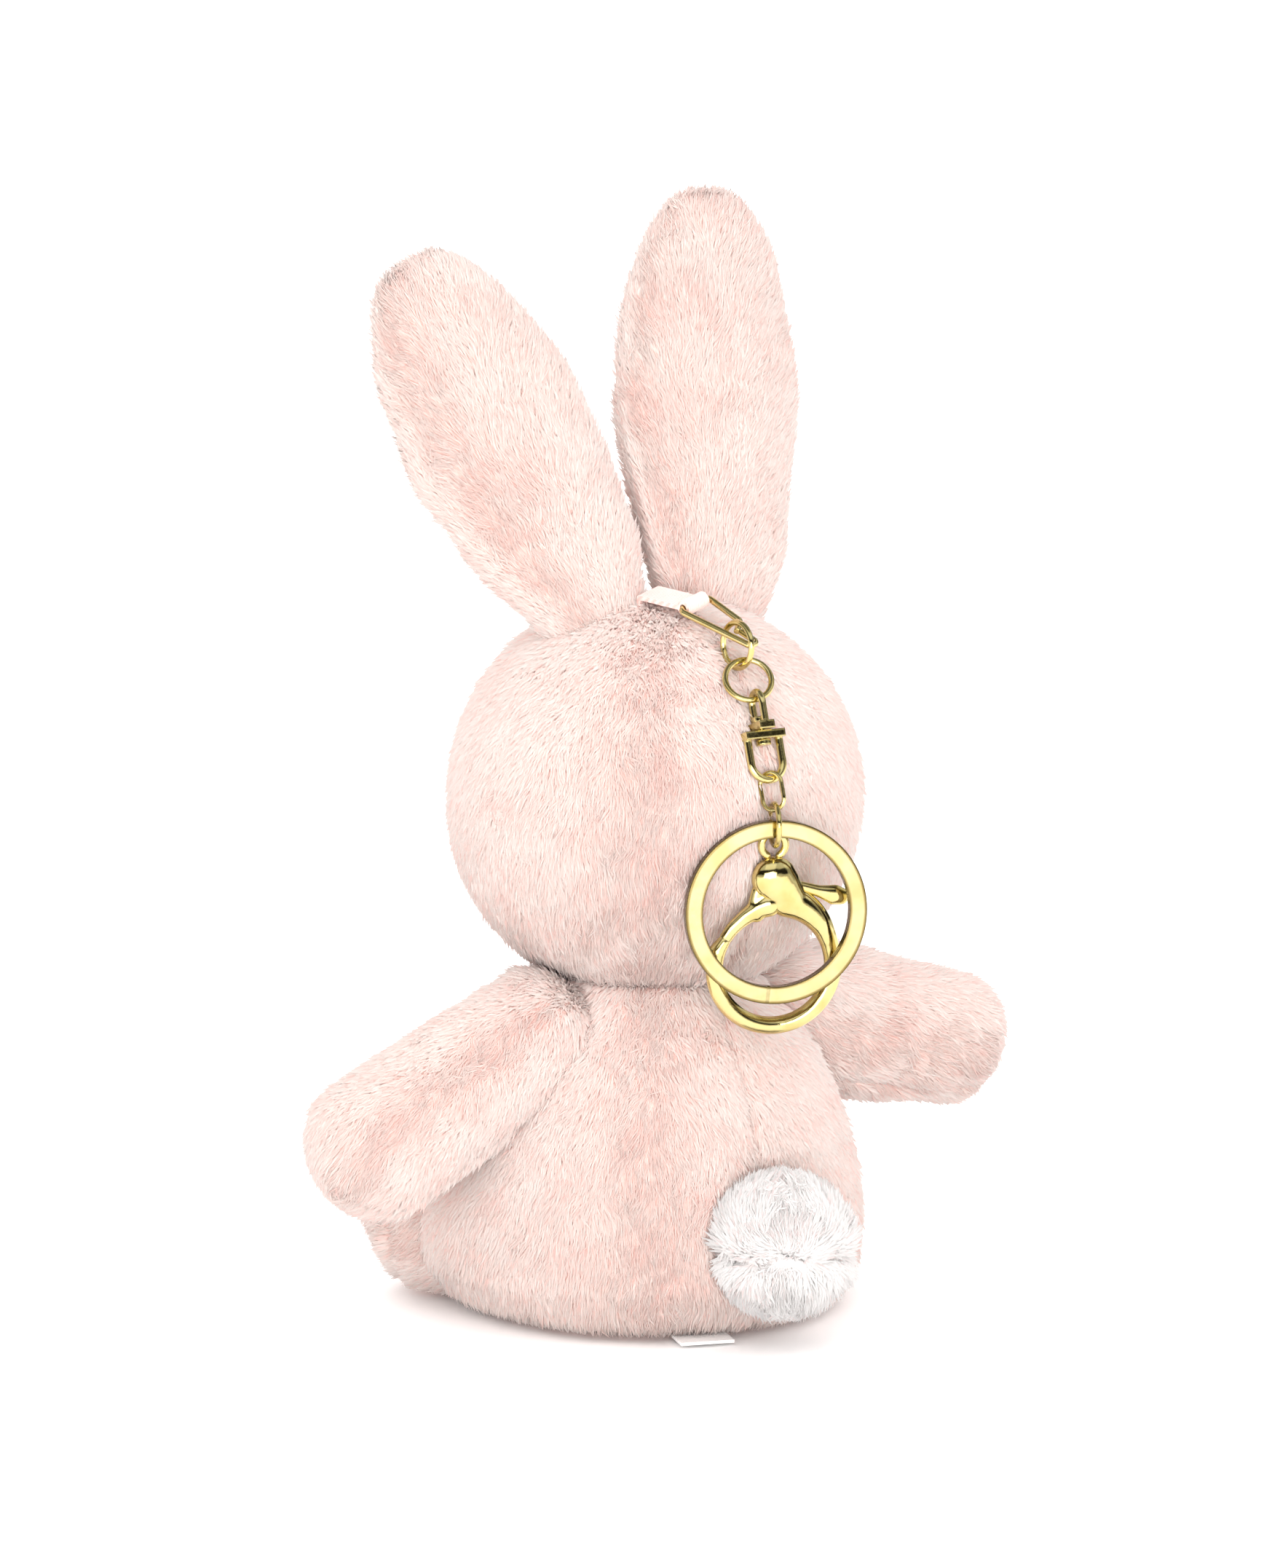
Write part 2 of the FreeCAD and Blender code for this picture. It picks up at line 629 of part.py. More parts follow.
def make_key_ring():
    """Flat split ring: two turns side by side, with the step where the outer turn begins."""
    body = doc.addObject("PartDesign::Body", "key_ring_body")
    sketch = new_sketch(body, "key_ring_section", "XZ_Plane")
    outer = size("key_od_r")
    inner = outer - size("key_band")
    turn = size("key_turn")
    gap = size("key_groove")
    notch = 0.25
    corners = [
        (outer, turn + gap / 2, "key_od_r", "key_turn + key_groove / 2"),
        (outer, gap / 2, "key_od_r", "key_groove / 2"),
        (outer - notch, 0, f"key_od_r - {notch}", "0"),
        (outer, -gap / 2, "key_od_r", "0 - key_groove / 2"),
        (outer, -turn - gap / 2, "key_od_r", "0 - key_turn - key_groove / 2"),
        (inner, -turn - gap / 2, "key_od_r - key_band", "0 - key_turn - key_groove / 2"),
        (inner, -gap / 2, "key_od_r - key_band", "0 - key_groove / 2"),
        (inner + notch, 0, f"key_od_r - key_band + {notch}", "0"),
        (inner, gap / 2, "key_od_r - key_band", "key_groove / 2"),
        (inner, turn + gap / 2, "key_od_r - key_band", "key_turn + key_groove / 2"),
    ]
    count = len(corners)
    for index, (x, y, across, high) in enumerate(corners):
        following = corners[(index + 1) % count]
        sketch.addGeometry(Part.LineSegment(at(x, y), at(following[0], following[1])))
    join(sketch, *[(index, (index + 1) % count) for index in range(count)])
    for index, (x, y, across, high) in enumerate(corners):
        locate(sketch, index, 1, across, high)
    doc.recompute()
    turned = body.newObject("PartDesign::Revolution", "key_ring_turned")
    turned.Profile = sketch
    turned.ReferenceAxis = (sketch, ["V_Axis"])
    turned.Angle = 360
    doc.recompute()
    step = move(box("key_ring_step", "key_band + 2", "0.5", "key_turn"), "key_od_r - key_band - 1", "0", "0")
    made = cut("key_ring_split", body, step)
    centre = JOINER_SPOT + OUTWARD * size("beside") - Vector(0, 0, size("key_rest") + inner)
    made.Placement = Placement(centre, along(OUTWARD).multiply(Rotation(Vector(0, 0, 1), 62)))
    return node(made, "key_ring")


def clasp_turn():
    """Local +X to the viewer's right, +Z up, local -Y towards the viewer; the hook leans to the body."""
    face = Rotation(Vector(0, 0, 1), 180 - FACE_YAW)
    return face.multiply(Rotation(Vector(1, 0, 0), 5))


def tangent_angle(side):
    """Angle round the hook's centre where a line from the pin touches the hook."""
    x = size("clasp_bow_x")
    z = size("clasp_bow_z")
    reach = math.hypot(x, z)
    return math.degrees(math.atan2(z, -x)) - side * math.degrees(math.acos(size("clasp_bow_r") / reach))


def tangent_length():
    return math.sqrt(size("clasp_bow_x") ** 2 + size("clasp_bow_z") ** 2 - size("clasp_bow_r") ** 2)


def tangent_bar(name, radius, length, side):
    """Round bar from the pin towards the hook's tangent point."""
    angle = math.radians(tangent_angle(side))
    x = size("clasp_bow_x") + size("clasp_bow_r") * math.cos(angle)
    z = -size("clasp_bow_z") + size("clasp_bow_r") * math.sin(angle)
    bar = cylinder(name, radius, length)
    bar.Placement = Placement(Vector(), along((x, 0, z)))
    return bar


def across_pin(name, radius, width):
    """A disc or pin on the hinge line."""
    disc = cylinder(name, radius, width)
    return move(disc, "0", f"({width}) / 2", "0", turn=Rotation(Vector(1, 0, 0), 90))


def make_clasp():
    spot = JOINER_SPOT - OUTWARD * size("beside")
    hang = size("eye_rest") + size("clasp_eye_r")
    pivot = Placement(spot - Vector(0, 0, hang), clasp_turn())
    pivot = pivot.multiply(Placement(Vector(0, 0, -size("clasp_neck")), Rotation()))

    eye = primitive("Torus", "clasp_eye", Radius1="clasp_eye_r", Radius2="clasp_eye_wire")
    move(eye, z="clasp_neck", turn=Rotation(Vector(1, 0, 0), 90))
    neck = move(box("clasp_neck_block", "3", "boss_wide", "2.6"), "0 - 1.5", "0 - boss_wide / 2", "1.6")
    boss = across_pin("clasp_boss", "boss_r", "boss_wide")
    arm = tangent_bar("clasp_arm", "clasp_wire", str(tangent_length()), 1)
    hook = primitive("Torus", "clasp_hook", Radius1="clasp_bow_r", Radius2="clasp_wire")
    low = tangent_angle(1)
    high = tangent_angle(-1)
    hook.Angle3 = 360 - (high - low)
    swing = Rotation(Vector(1, 0, 0), 90).multiply(Rotation(Vector(0, 0, 1), high))
    move(hook, "clasp_bow_x", "0", "0 - clasp_bow_z", turn=swing)
    blank = fuse("clasp_blank", eye, neck, boss, arm, hook)
    slot = across_pin("clasp_slot", "slot_r", "slot_wide")
    bore = across_pin("clasp_bore", "pin_r", "boss_wide + 2")
    body = cut("clasp_machined", blank, fuse("clasp_cuts", slot, bore))
    body.Placement = pivot
    node(body, "clasp_body")

    lug = across_pin("gate_lug", "lug_r", "lug_wide")
    bar = tangent_bar("gate_bar", "gate_wire", f"{tangent_length()} - gate_gap", -1)
    crook = Vector(size("lever_rise"), 0, 0.4)
    thumb = Vector(size("lever_len"), 0, -3.0)
    shank = flat_bar("gate_shank", Vector(), crook)
    lever = flat_bar("gate_lever", crook, thumb)
    blank = fuse("gate_blank", lug, common("gate_bar_thin", bar, gate_width()), *shank, *lever)
    bore = across_pin("gate_bore", "pin_r + turn_fit", "lug_wide + 2")
    pocket = move(
        cylinder("gate_pocket", "coil_r + coil_wire + 0.15", "1.0"),
        "0",
        "lug_wide / 2 + 0.2",
        "0",
        turn=Rotation(Vector(1, 0, 0), 90),
    )
    gate = cut("gate_machined", blank, fuse("gate_cuts", bore, pocket))
    gate.Placement = pivot
    node(gate, "clasp_gate")

    pin = cylinder("clasp_pin_rod", "pin_r", "boss_wide")
    start = Placement(Vector(0, size("boss_wide") / 2, 0), Rotation(Vector(1, 0, 0), 90))
    pin.Placement = pivot.multiply(start)
    node(pin, "clasp_pin")

    coils = []
    for index in range(2):
        coil = primitive("Torus", f"spring_coil_{index}", Radius1="coil_r", Radius2="coil_wire")
        coils.append(move(coil, "0", f"0.64 - {index} * 0.34", "0", turn=Rotation(Vector(1, 0, 0), 90)))
    spring = fuse("spring_wound", *coils)
    spring.Placement = pivot
    node(spring, "clasp_spring")


def flat_bar(name, start, end):
    """Flat round-ended bar between two points of the clasp's plane."""
    run = end - start
    bar = box(name + "_bar", "2 * lever_half", "lug_wide", str(run.Length))
    turn = along(run)
    offset = turn.multVec(Vector(-size("lever_half"), -size("lug_wide") / 2, 0))
    bar.Placement = Placement(start + offset, turn)
    cap = cylinder(name + "_cap", "lever_half", "lug_wide")
    lift = Vector(0, size("lug_wide") / 2, 0)
    cap.Placement = Placement(end + lift, Rotation(Vector(1, 0, 0), 90))
    return [bar, cap]


def gate_width():
    """Keeps the gate's bar inside the hinge slot near the pin and full beyond it."""
    inside = move(box("gate_slot_room", "20", "lug_wide", "20"), "0 - 10", "0 - lug_wide / 2", "0 - 10")
    beyond = cut(
        "gate_beyond",
        move(box("gate_far_room", "60", "10", "60"), "0 - 30", "0 - 5", "0 - 30"),
        across_pin("gate_near_room", "slot_r + 0.3", "12"),
    )
    return fuse("gate_room", inside, beyond)


def make_chain():
    make_tab()
    make_snap()
    ring("jump_ring_upper", "ring_a_r", "ring_wire", (0.05, 25.68, 113.85), (0.995, 0.094, 0))
    ring("jump_ring_lower", "ring_b_r", "ring_wire", (0, 28.9, 108.5), (0.3, 0.735, 0.611))
    make_swivel()
    make_link("oval_link", Vector(0, 35.0, 94.1), Vector(0, 36.95, 88.06), 122)
    ring("joining_ring", "joiner_r", "joiner_wire", tuple(JOINER_SPOT), (OUTWARD.y, -OUTWARD.x, 0))
    make_key_ring()
    make_clasp()


def export_nodes():
    """Recompute, check every object and write one STEP file for each sub-part."""
    doc.recompute()
    for obj in doc.Objects:
        if "Invalid" in obj.State or "Error" in obj.State:
            raise RuntimeError(f"{obj.Name} did not compute: {obj.State}")
    os.makedirs("parts", exist_ok=True)
    for made in NODES:
        if made.Shape.isNull() or not made.Shape.isValid():
            raise RuntimeError(f"{made.Label} has no valid shape")
        if len(made.Shape.Solids) != 1:
            raise RuntimeError(f"{made.Label} has {len(made.Shape.Solids)} solids")
        made.Shape.exportStep(f"parts/{made.Label}.step")
        bounds = made.Shape.BoundBox
        print(f"{made.Label}: volume {made.Shape.Volume:.1f}, Z {bounds.ZMin:.2f} to {bounds.ZMax:.2f}")


make_torso()
make_limbs()
make_head()
make_ear("ear_left", "ear_x", 27, 10)
make_ear("ear_right", "0 - ear_x", -4, 8)
make_tail()
make_label()
make_chain()
export_nodes()
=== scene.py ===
import json
import math

import bmesh
import bpy
import numpy as np
from mathutils import Matrix, Vector


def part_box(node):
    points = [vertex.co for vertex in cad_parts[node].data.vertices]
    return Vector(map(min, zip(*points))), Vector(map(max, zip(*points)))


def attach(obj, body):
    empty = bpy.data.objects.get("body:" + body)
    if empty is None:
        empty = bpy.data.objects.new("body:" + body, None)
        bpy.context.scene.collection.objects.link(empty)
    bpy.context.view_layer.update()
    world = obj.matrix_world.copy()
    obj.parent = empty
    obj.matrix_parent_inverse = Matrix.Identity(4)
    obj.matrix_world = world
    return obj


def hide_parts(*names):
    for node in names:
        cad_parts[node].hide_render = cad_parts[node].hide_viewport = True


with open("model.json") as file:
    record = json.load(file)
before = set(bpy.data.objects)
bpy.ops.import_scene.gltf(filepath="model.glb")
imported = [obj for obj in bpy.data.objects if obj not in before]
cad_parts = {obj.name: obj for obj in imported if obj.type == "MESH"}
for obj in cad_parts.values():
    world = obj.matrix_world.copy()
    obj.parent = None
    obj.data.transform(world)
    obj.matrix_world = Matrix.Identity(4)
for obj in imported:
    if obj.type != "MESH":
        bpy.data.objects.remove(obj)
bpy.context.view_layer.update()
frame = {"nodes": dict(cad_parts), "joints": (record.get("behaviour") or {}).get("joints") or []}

# Plush bunny keychain: soft skins, combed pile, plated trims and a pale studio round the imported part.

NODES = frame["nodes"]
JOINTS = {j["name"]: np.array(j["pos_m"]) for j in frame["joints"]}
AXES = {j["name"]: np.array(j["axis"]) for j in frame["joints"]}
MM = 0.001
UP = np.array((0.0, 0.0, 1.0))


# ---------- small helpers ----------

def box(*names):
    """Lowest corner, highest corner and middle of some CAD nodes."""
    corners = [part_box(n) for n in names]
    low = np.min([np.array(c[0]) for c in corners], axis=0)
    high = np.max([np.array(c[1]) for c in corners], axis=0)
    return low, high, (low + high) / 2


def unit(v):
    """Vectors of length 1; a zero vector stays zero."""
    v = np.asarray(v, float)
    return v / np.maximum(np.linalg.norm(v, axis=-1, keepdims=True), 1e-12)


def smooth(x, low, high):
    """0 below low, 1 above high, with a soft step between."""
    t = np.clip((x - low) / (high - low), 0, 1)
    return t * t * (3 - 2 * t)


def swell(points, seed, scale, waves=10):
    """Soft seeded noise, about -1 to 1, with features of about scale metres."""
    rng = np.random.default_rng(seed)
    ways = unit(rng.normal(size=(waves, 3))) * rng.uniform(0.6, 1.6, (waves, 1)) * 2 * math.pi / scale
    phase = rng.uniform(0, 2 * math.pi, waves)
    return np.sin(points @ ways.T + phase).sum(axis=1) / math.sqrt(waves)


def ball(level):
    """Unit sphere as points and triangles."""
    bm = bmesh.new()
    bmesh.ops.create_icosphere(bm, subdivisions=level, radius=1)
    bm.verts.ensure_lookup_table()
    points = np.array([v.co for v in bm.verts])
    faces = np.array([[v.index for v in f.verts] for f in bm.faces])
    bm.free()
    return points, faces


def mesh_object(name, points, faces, material):
    """Smooth-shaded object in a material slot."""
    mesh = bpy.data.meshes.new(name)
    mesh.from_pydata(points.tolist(), [], faces.tolist())
    mesh.materials.append(material)
    mesh.polygons.foreach_set("use_smooth", [True] * len(mesh.polygons))
    mesh.update()
    obj = bpy.data.objects.new(name, mesh)
    bpy.context.scene.collection.objects.link(obj)
    return obj


def normals(points, faces):
    """Area-weighted vertex normals."""
    a, b, c = (points[faces[:, i]] for i in range(3))
    flat = np.cross(b - a, c - a)
    out = np.zeros_like(points)
    for i in range(3):
        np.add.at(out, faces[:, i], flat)
    return unit(out)


SEAM_WIDTH = 0.0011
NO_SEAM = 1.0  # a distance so large that the groove has no depth there


def groove(points, away, distance, depth, width):
    """Pulls points in along -away where distance (from the seam) is small."""
    return points - away * (depth * np.exp(-(distance / width) ** 2))[:, None]


# ---------- materials ----------

def material(name):
    """New material, its node tree and its main shader."""
    mat = bpy.data.materials.new(name)
    mat.use_nodes = True
    tree = mat.node_tree
    return mat, tree, tree.nodes["Principled BSDF"]


def add(tree, kind, inputs=(), **settings):
    """New node with its inputs linked to sockets or set to values."""
    node = tree.nodes.new(kind)
    for key, value in settings.items():
        setattr(node, key, value)
    for key, value in dict(inputs).items():
        if isinstance(value, bpy.types.NodeSocket):
            tree.links.new(value, node.inputs[key])
        else:
            node.inputs[key].default_value = value
    return node


def ramp(tree, factor, stops):
    """Colour ramp through (place, colour) stops."""
    node = add(tree, "ShaderNodeValToRGB", {"Fac": factor})
    band = node.color_ramp
    while len(band.elements) < len(stops):
        band.elements.new(0.5)
    for element, (place, colour) in zip(band.elements, stops):
        element.position = place
        element.color = (*colour, 1)
    return node.outputs["Color"]


def mixed(tree, factor, a, b, blend="MIX"):
    """Two colours, each a socket or a fixed colour, blended by factor."""
    node = add(tree, "ShaderNodeMix", data_type="RGBA", blend_type=blend)
    for socket, value in ((node.inputs[0], factor), (node.inputs[6], a), (node.inputs[7], b)):
        if isinstance(value, bpy.types.NodeSocket):
            tree.links.new(value, socket)
        elif isinstance(value, tuple):
            socket.default_value = (*value, 1)
        else:
            socket.default_value = value
    return node.outputs[2]


def plush_skin(name, deep, pale):
    """Knitted backing under the pile: patchy, with fine short streaks."""
    mat, tree, shader = material(name)
    place = add(tree, "ShaderNodeTexCoord").outputs["Object"]
    patches = add(tree, "ShaderNodeTexNoise", {"Vector": place, "Scale": 90, "Detail": 3})
    grain = add(tree, "ShaderNodeTexNoise", {"Vector": place, "Scale": 1400, "Detail": 2})
    both = mixed(tree, 0.55, patches.outputs["Fac"], grain.outputs["Fac"])
    colour = ramp(tree, both, [(0.32, deep), (0.66, pale)])
    bump = add(tree, "ShaderNodeBump", {"Strength": 0.5, "Distance": 0.0004,
                                        "Height": grain.outputs["Fac"]})
    tree.links.new(colour, shader.inputs["Base Color"])
    tree.links.new(bump.outputs["Normal"], shader.inputs["Normal"])
    shader.inputs["Roughness"].default_value = 0.95
    shader.inputs["Specular IOR Level"].default_value = 0.1
    shader.inputs["Sheen Weight"].default_value = 0.35
    shader.inputs["Sheen Roughness"].default_value = 0.5
    return mat


def plush_pile(name, root, middle, tip):
    """Pile fibres: U carries each fibre's tint and V runs from its root to its tip, deeper towards the root
    as painted shade deep in the pile.
    """
    mat, tree, shader = material(name)
    uv = add(tree, "ShaderNodeUVMap", uv_map="OFBake").outputs["UV"]
    split = add(tree, "ShaderNodeSeparateXYZ", {"Vector": uv})
    # root to tip along each fibre: the deeper root colour is painted shade deep in the pile
    along = ramp(tree, split.outputs["Y"], [(0.0, root), (0.45, middle), (1.0, tip)])
    dark = tuple(m * k for m, k in zip(middle, (0.98, 0.80, 0.79)))
    tint = ramp(tree, split.outputs["X"], [(0.0, dark), (0.30, middle), (1.0, tip)])
    colour = mixed(tree, 0.6, along, tint)
    tree.links.new(colour, shader.inputs["Base Color"])
    shader.inputs["Roughness"].default_value = 0.75
    shader.inputs["Specular IOR Level"].default_value = 0.25
    shader.inputs["Sheen Weight"].default_value = 0.15
    shader.inputs["Sheen Roughness"].default_value = 0.4
    return mat


def painted_rim_reflections(tree, place, colour, ring):
    """Painted dark reflections: darkens a flat ring's colour towards its inner and outer rims, by the
    distance from its middle.
    """
    points = np.array([v.co for v in NODES[ring].data.vertices])
    centre = (points.min(0) + points.max(0)) / 2
    reach = np.linalg.norm(points - centre, axis=1)
    radius = add(tree, "ShaderNodeVectorMath", {0: place, 1: centre}, operation="DISTANCE")
    across = add(tree, "ShaderNodeMapRange", {"Value": radius.outputs["Value"],
                                              "From Min": reach.min(), "From Max": reach.max()})
    # painted dark reflections near both rims, the full colour across the middle
    rim_reflection_ramp = ramp(tree, across.outputs["Result"],
                [(0.0, (0.22, 0.18, 0.12)), (0.10, (0.55, 0.5, 0.4)), (0.18, (1, 1, 1)),
                 (0.80, (1, 1, 1)), (0.88, (0.5, 0.45, 0.35)), (1.0, (0.2, 0.16, 0.1))])
    return mixed(tree, 1.0, colour, rim_reflection_ramp, "MULTIPLY")


def metal(name, pale, deep, rough, streak, ring=None):
    """Plated metal with faint polishing marks, softened edges, a deeper tone where worn and, on a given
    ring, painted dark reflections at its rims.
    """
    mat, tree, shader = material(name)
    place = add(tree, "ShaderNodeTexCoord").outputs["Object"]
    wear = add(tree, "ShaderNodeTexNoise", {"Vector": place, "Scale": 260, "Detail": 4})
    marks = add(tree, "ShaderNodeTexNoise", {"Vector": place, "Scale": streak, "Detail": 3,
                                             "Distortion": 0.6})
    colour = ramp(tree, wear.outputs["Fac"], [(0.3, deep), (0.62, pale)])
    # on the given ring, painted dark reflections at its inner and outer rims
    if ring is not None:
        colour = painted_rim_reflections(tree, place, colour, ring)
    gloss = add(tree, "ShaderNodeMapRange", {"Value": marks.outputs["Fac"], "From Min": 0.3,
                                             "From Max": 0.7, "To Min": rough * 0.7,
                                             "To Max": rough * 1.4})
    edges = add(tree, "ShaderNodeBevel", {"Radius": 0.00045}, samples=6)
    bump = add(tree, "ShaderNodeBump", {"Strength": 0.12, "Distance": 0.00006,
                                        "Height": marks.outputs["Fac"],
                                        "Normal": edges.outputs["Normal"]})
    tree.links.new(colour, shader.inputs["Base Color"])
    tree.links.new(gloss.outputs["Result"], shader.inputs["Roughness"])
    tree.links.new(bump.outputs["Normal"], shader.inputs["Normal"])
    shader.inputs["Metallic"].default_value = 1
    return mat


def satin(name, deep, pale, rough):
    """Woven satin: fine warp lines across a soft sheen."""
    mat, tree, shader = material(name)
    place = add(tree, "ShaderNodeTexCoord").outputs["Object"]
    warp = add(tree, "ShaderNodeTexWave", {"Vector": place, "Scale": 900, "Distortion": 1.5,
                                           "Detail": 2}, bands_direction="X")
    weft = add(tree, "ShaderNodeTexNoise", {"Vector": place, "Scale": 2600, "Detail": 1})
    both = mixed(tree, 0.4, warp.outputs["Fac"], weft.outputs["Fac"])
    colour = ramp(tree, both, [(0.2, deep), (0.8, pale)])
    bump = add(tree, "ShaderNodeBump", {"Strength": 0.4, "Distance": 0.0001, "Height": both})
    tree.links.new(colour, shader.inputs["Base Color"])
    tree.links.new(bump.outputs["Normal"], shader.inputs["Normal"])
    shader.inputs["Roughness"].default_value = rough
    shader.inputs["Sheen Weight"].default_value = 0.5
    shader.inputs["Anisotropic"].default_value = 0.5
    return mat


def plastic(name, colour, speck):
    """Glossy moulded plastic with a faint flecked depth and hairline scuffs."""
    mat, tree, shader = material(name)
    place = add(tree, "ShaderNodeTexCoord").outputs["Object"]
    fleck = add(tree, "ShaderNodeTexNoise", {"Vector": place, "Scale": 700, "Detail": 3})
    tone = ramp(tree, fleck.outputs["Fac"], [(0.4, colour), (0.75, speck)])
    gloss = add(tree, "ShaderNodeMapRange", {"Value": fleck.outputs["Fac"], "To Min": 0.06,
                                             "To Max": 0.2})
    tree.links.new(tone, shader.inputs["Base Color"])
    tree.links.new(gloss.outputs["Result"], shader.inputs["Roughness"])
    shader.inputs["Coat Weight"].default_value = 0.6
    shader.inputs["Coat Roughness"].default_value = 0.05
    return mat


def floss(name, deep, pale):
    """Embroidery thread: twisted strands."""
    mat, tree, shader = material(name)
    place = add(tree, "ShaderNodeTexCoord").outputs["Object"]
    twist = add(tree, "ShaderNodeTexWave", {"Vector": place, "Scale": 1100, "Distortion": 2},
                bands_direction="DIAGONAL")
    colour = ramp(tree, twist.outputs["Fac"], [(0.1, deep), (0.8, pale)])
    bump = add(tree, "ShaderNodeBump", {"Strength": 0.5, "Distance": 0.0001,
                                        "Height": twist.outputs["Fac"]})
    tree.links.new(colour, shader.inputs["Base Color"])
    tree.links.new(bump.outputs["Normal"], shader.inputs["Normal"])
    shader.inputs["Roughness"].default_value = 0.5
    shader.inputs["Sheen Weight"].default_value = 0.4
    return mat


PINK_SKIN = plush_skin("pink_backing", (0.97, 0.62, 0.55), (0.98, 0.75, 0.69))
# first pile colour, at the fibre roots, is deeper as painted shade deep in the pile
PINK_PILE = plush_pile("pink_pile", (0.97, 0.58, 0.51), (0.985, 0.775, 0.71), (0.985, 0.90, 0.85))
WHITE_SKIN = plush_skin("white_backing", (0.93, 0.87, 0.85), (0.98, 0.95, 0.94))
WHITE_PILE = plush_pile("white_pile", (0.96, 0.93, 0.91), (0.98, 0.965, 0.95), (0.985, 0.98, 0.97))
GOLD = metal("gold_polished", (0.74, 0.63, 0.29), (0.62, 0.51, 0.19), 0.07, 900)
# the key ring's gold carries painted dark reflections at its rims
GOLD_SATIN = metal("gold_satin", (0.68, 0.59, 0.31), (0.58, 0.48, 0.21), 0.14, 1500, ring="key_ring")
STEEL = metal("spring_steel", (0.72, 0.72, 0.72), (0.55, 0.55, 0.56), 0.22, 1200)
RIBBON = satin("ribbon_satin", (0.82, 0.52, 0.47), (0.97, 0.75, 0.70), 0.42)
LABEL = satin("label_satin", (0.82, 0.80, 0.78), (0.97, 0.96, 0.95), 0.5)
EYE = plastic("eye_gloss", (0.016, 0.010, 0.009), (0.05, 0.03, 0.025))
THREAD = floss("nose_floss", (0.55, 0.22, 0.22), (0.85, 0.45, 0.43))


# ---------- plush skins ----------

def sausage(root, tip, root_r, tip_r, level=6, flat=None, squeeze=1.0):
    """Soft stuffed tube: a ball drawn out from root to tip. flat is the way it is thinner by squeeze."""
    shape, faces = ball(level)
    axis = unit(tip - root)
    side = unit(np.cross(axis, (0.31, 0.17, 0.93)))
    third = np.cross(axis, side)
    n = shape[:, :1] * axis + shape[:, 1:2] * side + shape[:, 2:] * third
    run = smooth(shape[:, 0], -0.4, 0.4)
    radius = root_r + (tip_r - root_r) * run
    points = root + (tip - root) * run[:, None] + n * radius[:, None]
    if flat is not None:
        middle = root + (tip - root) * run[:, None]
        off = ((points - middle) @ flat)[:, None]
        points = points - off * (1 - squeeze) * flat
    return points, faces


FIBRE_WIDTH = 0.19 * MM
FIBRE_ROOT_DEPTH = 0.2 * MM
FLOOR_GAP = 0.1 * MM
DRIFT, DRIFT_SIZE = 0.22, 0.009
TUFTS, TUFT_SIZE = 0.16, 0.0028
STRAY = 0.2
COMB_WAVES = 14
MM2_PER_M2 = 1e6
FIBRES_PER_PIECE = 48000
FIBRE_FACES = np.array(((0, 2, 1), (0, 1, 3), (1, 2, 3), (2, 0, 3)))
FIBRE_HEIGHTS = np.array((0.0, 0.0, 0.55, 1.0))
FIBRE_U_SPREAD = np.array((-0.004, 0.004, 0.0, 0.0))


def scattered(points, faces, density, rng):
    """Random places on a mesh, density to the square millimetre, and the normal at each."""
    a, b, c = (points[faces[:, i]] for i in range(3))
    area = np.linalg.norm(np.cross(b - a, c - a), axis=1) / 2
    count = int(area.sum() * density * MM2_PER_M2)
    pick = rng.choice(len(faces), count, p=area / area.sum())
    u, v = rng.random((2, count, 1))
    over = u + v > 1
    u, v = np.where(over, 1 - u, u), np.where(over, 1 - v, v)
    place = a[pick] * (1 - u - v) + b[pick] * u + c[pick] * v
    vn = normals(points, faces)
    f = faces[pick]
    return place, unit(vn[f[:, 0]] * (1 - u - v) + vn[f[:, 1]] * u + vn[f[:, 2]] * v)


def along_surface(way, normal):
    return way - (way * normal).sum(1, keepdims=True) * normal


def combed(root, normal, comb, lift, seed, rng):
    """The way that each fibre points: combed, drifting, gathered in small tufts, and raised by lift."""
    lay = along_surface(comb(root, normal), normal)
    drift = np.stack([swell(root, seed + k, DRIFT_SIZE, COMB_WAVES) for k in range(3)], 1)
    tuft = np.stack([swell(root, seed + 9 + k, TUFT_SIZE, COMB_WAVES) for k in range(3)], 1)
    lay = unit(lay) + DRIFT * drift + TUFTS * tuft + STRAY * rng.normal(size=root.shape)
    lay = along_surface(lay, normal)
    raised = lift * (1 + 0.35 * rng.normal(size=(len(root), 1)))
    return unit(unit(lay) + np.clip(raised, 0.12, 2) * normal)


def slivers(root, normal, way, length, rng):
    """Four corners per fibre (two at the root, the middle and the tip) and a soft shading normal at each."""
    size = length * rng.uniform(0.7, 1.25, (len(root), 1))
    tip = root + way * size
    tip[:, 2] = np.maximum(tip[:, 2], FLOOR_GAP)
    side = unit(np.cross(normal, way))
    half = FIBRE_WIDTH / 2 * rng.uniform(0.75, 1.3, (len(root), 1))
    base = root - normal * FIBRE_ROOT_DEPTH
    mid = (root + tip) / 2 + normal * size * 0.1
    corners = np.stack([base - side * half, base + side * half, mid + normal * half, tip], 1)
    soft = unit(normal + 0.35 * way)
    sway = side * 0.3
    shade = np.stack([unit(soft - sway), unit(soft + sway), soft, unit(soft + 0.3 * way)], 1)
    return corners, shade


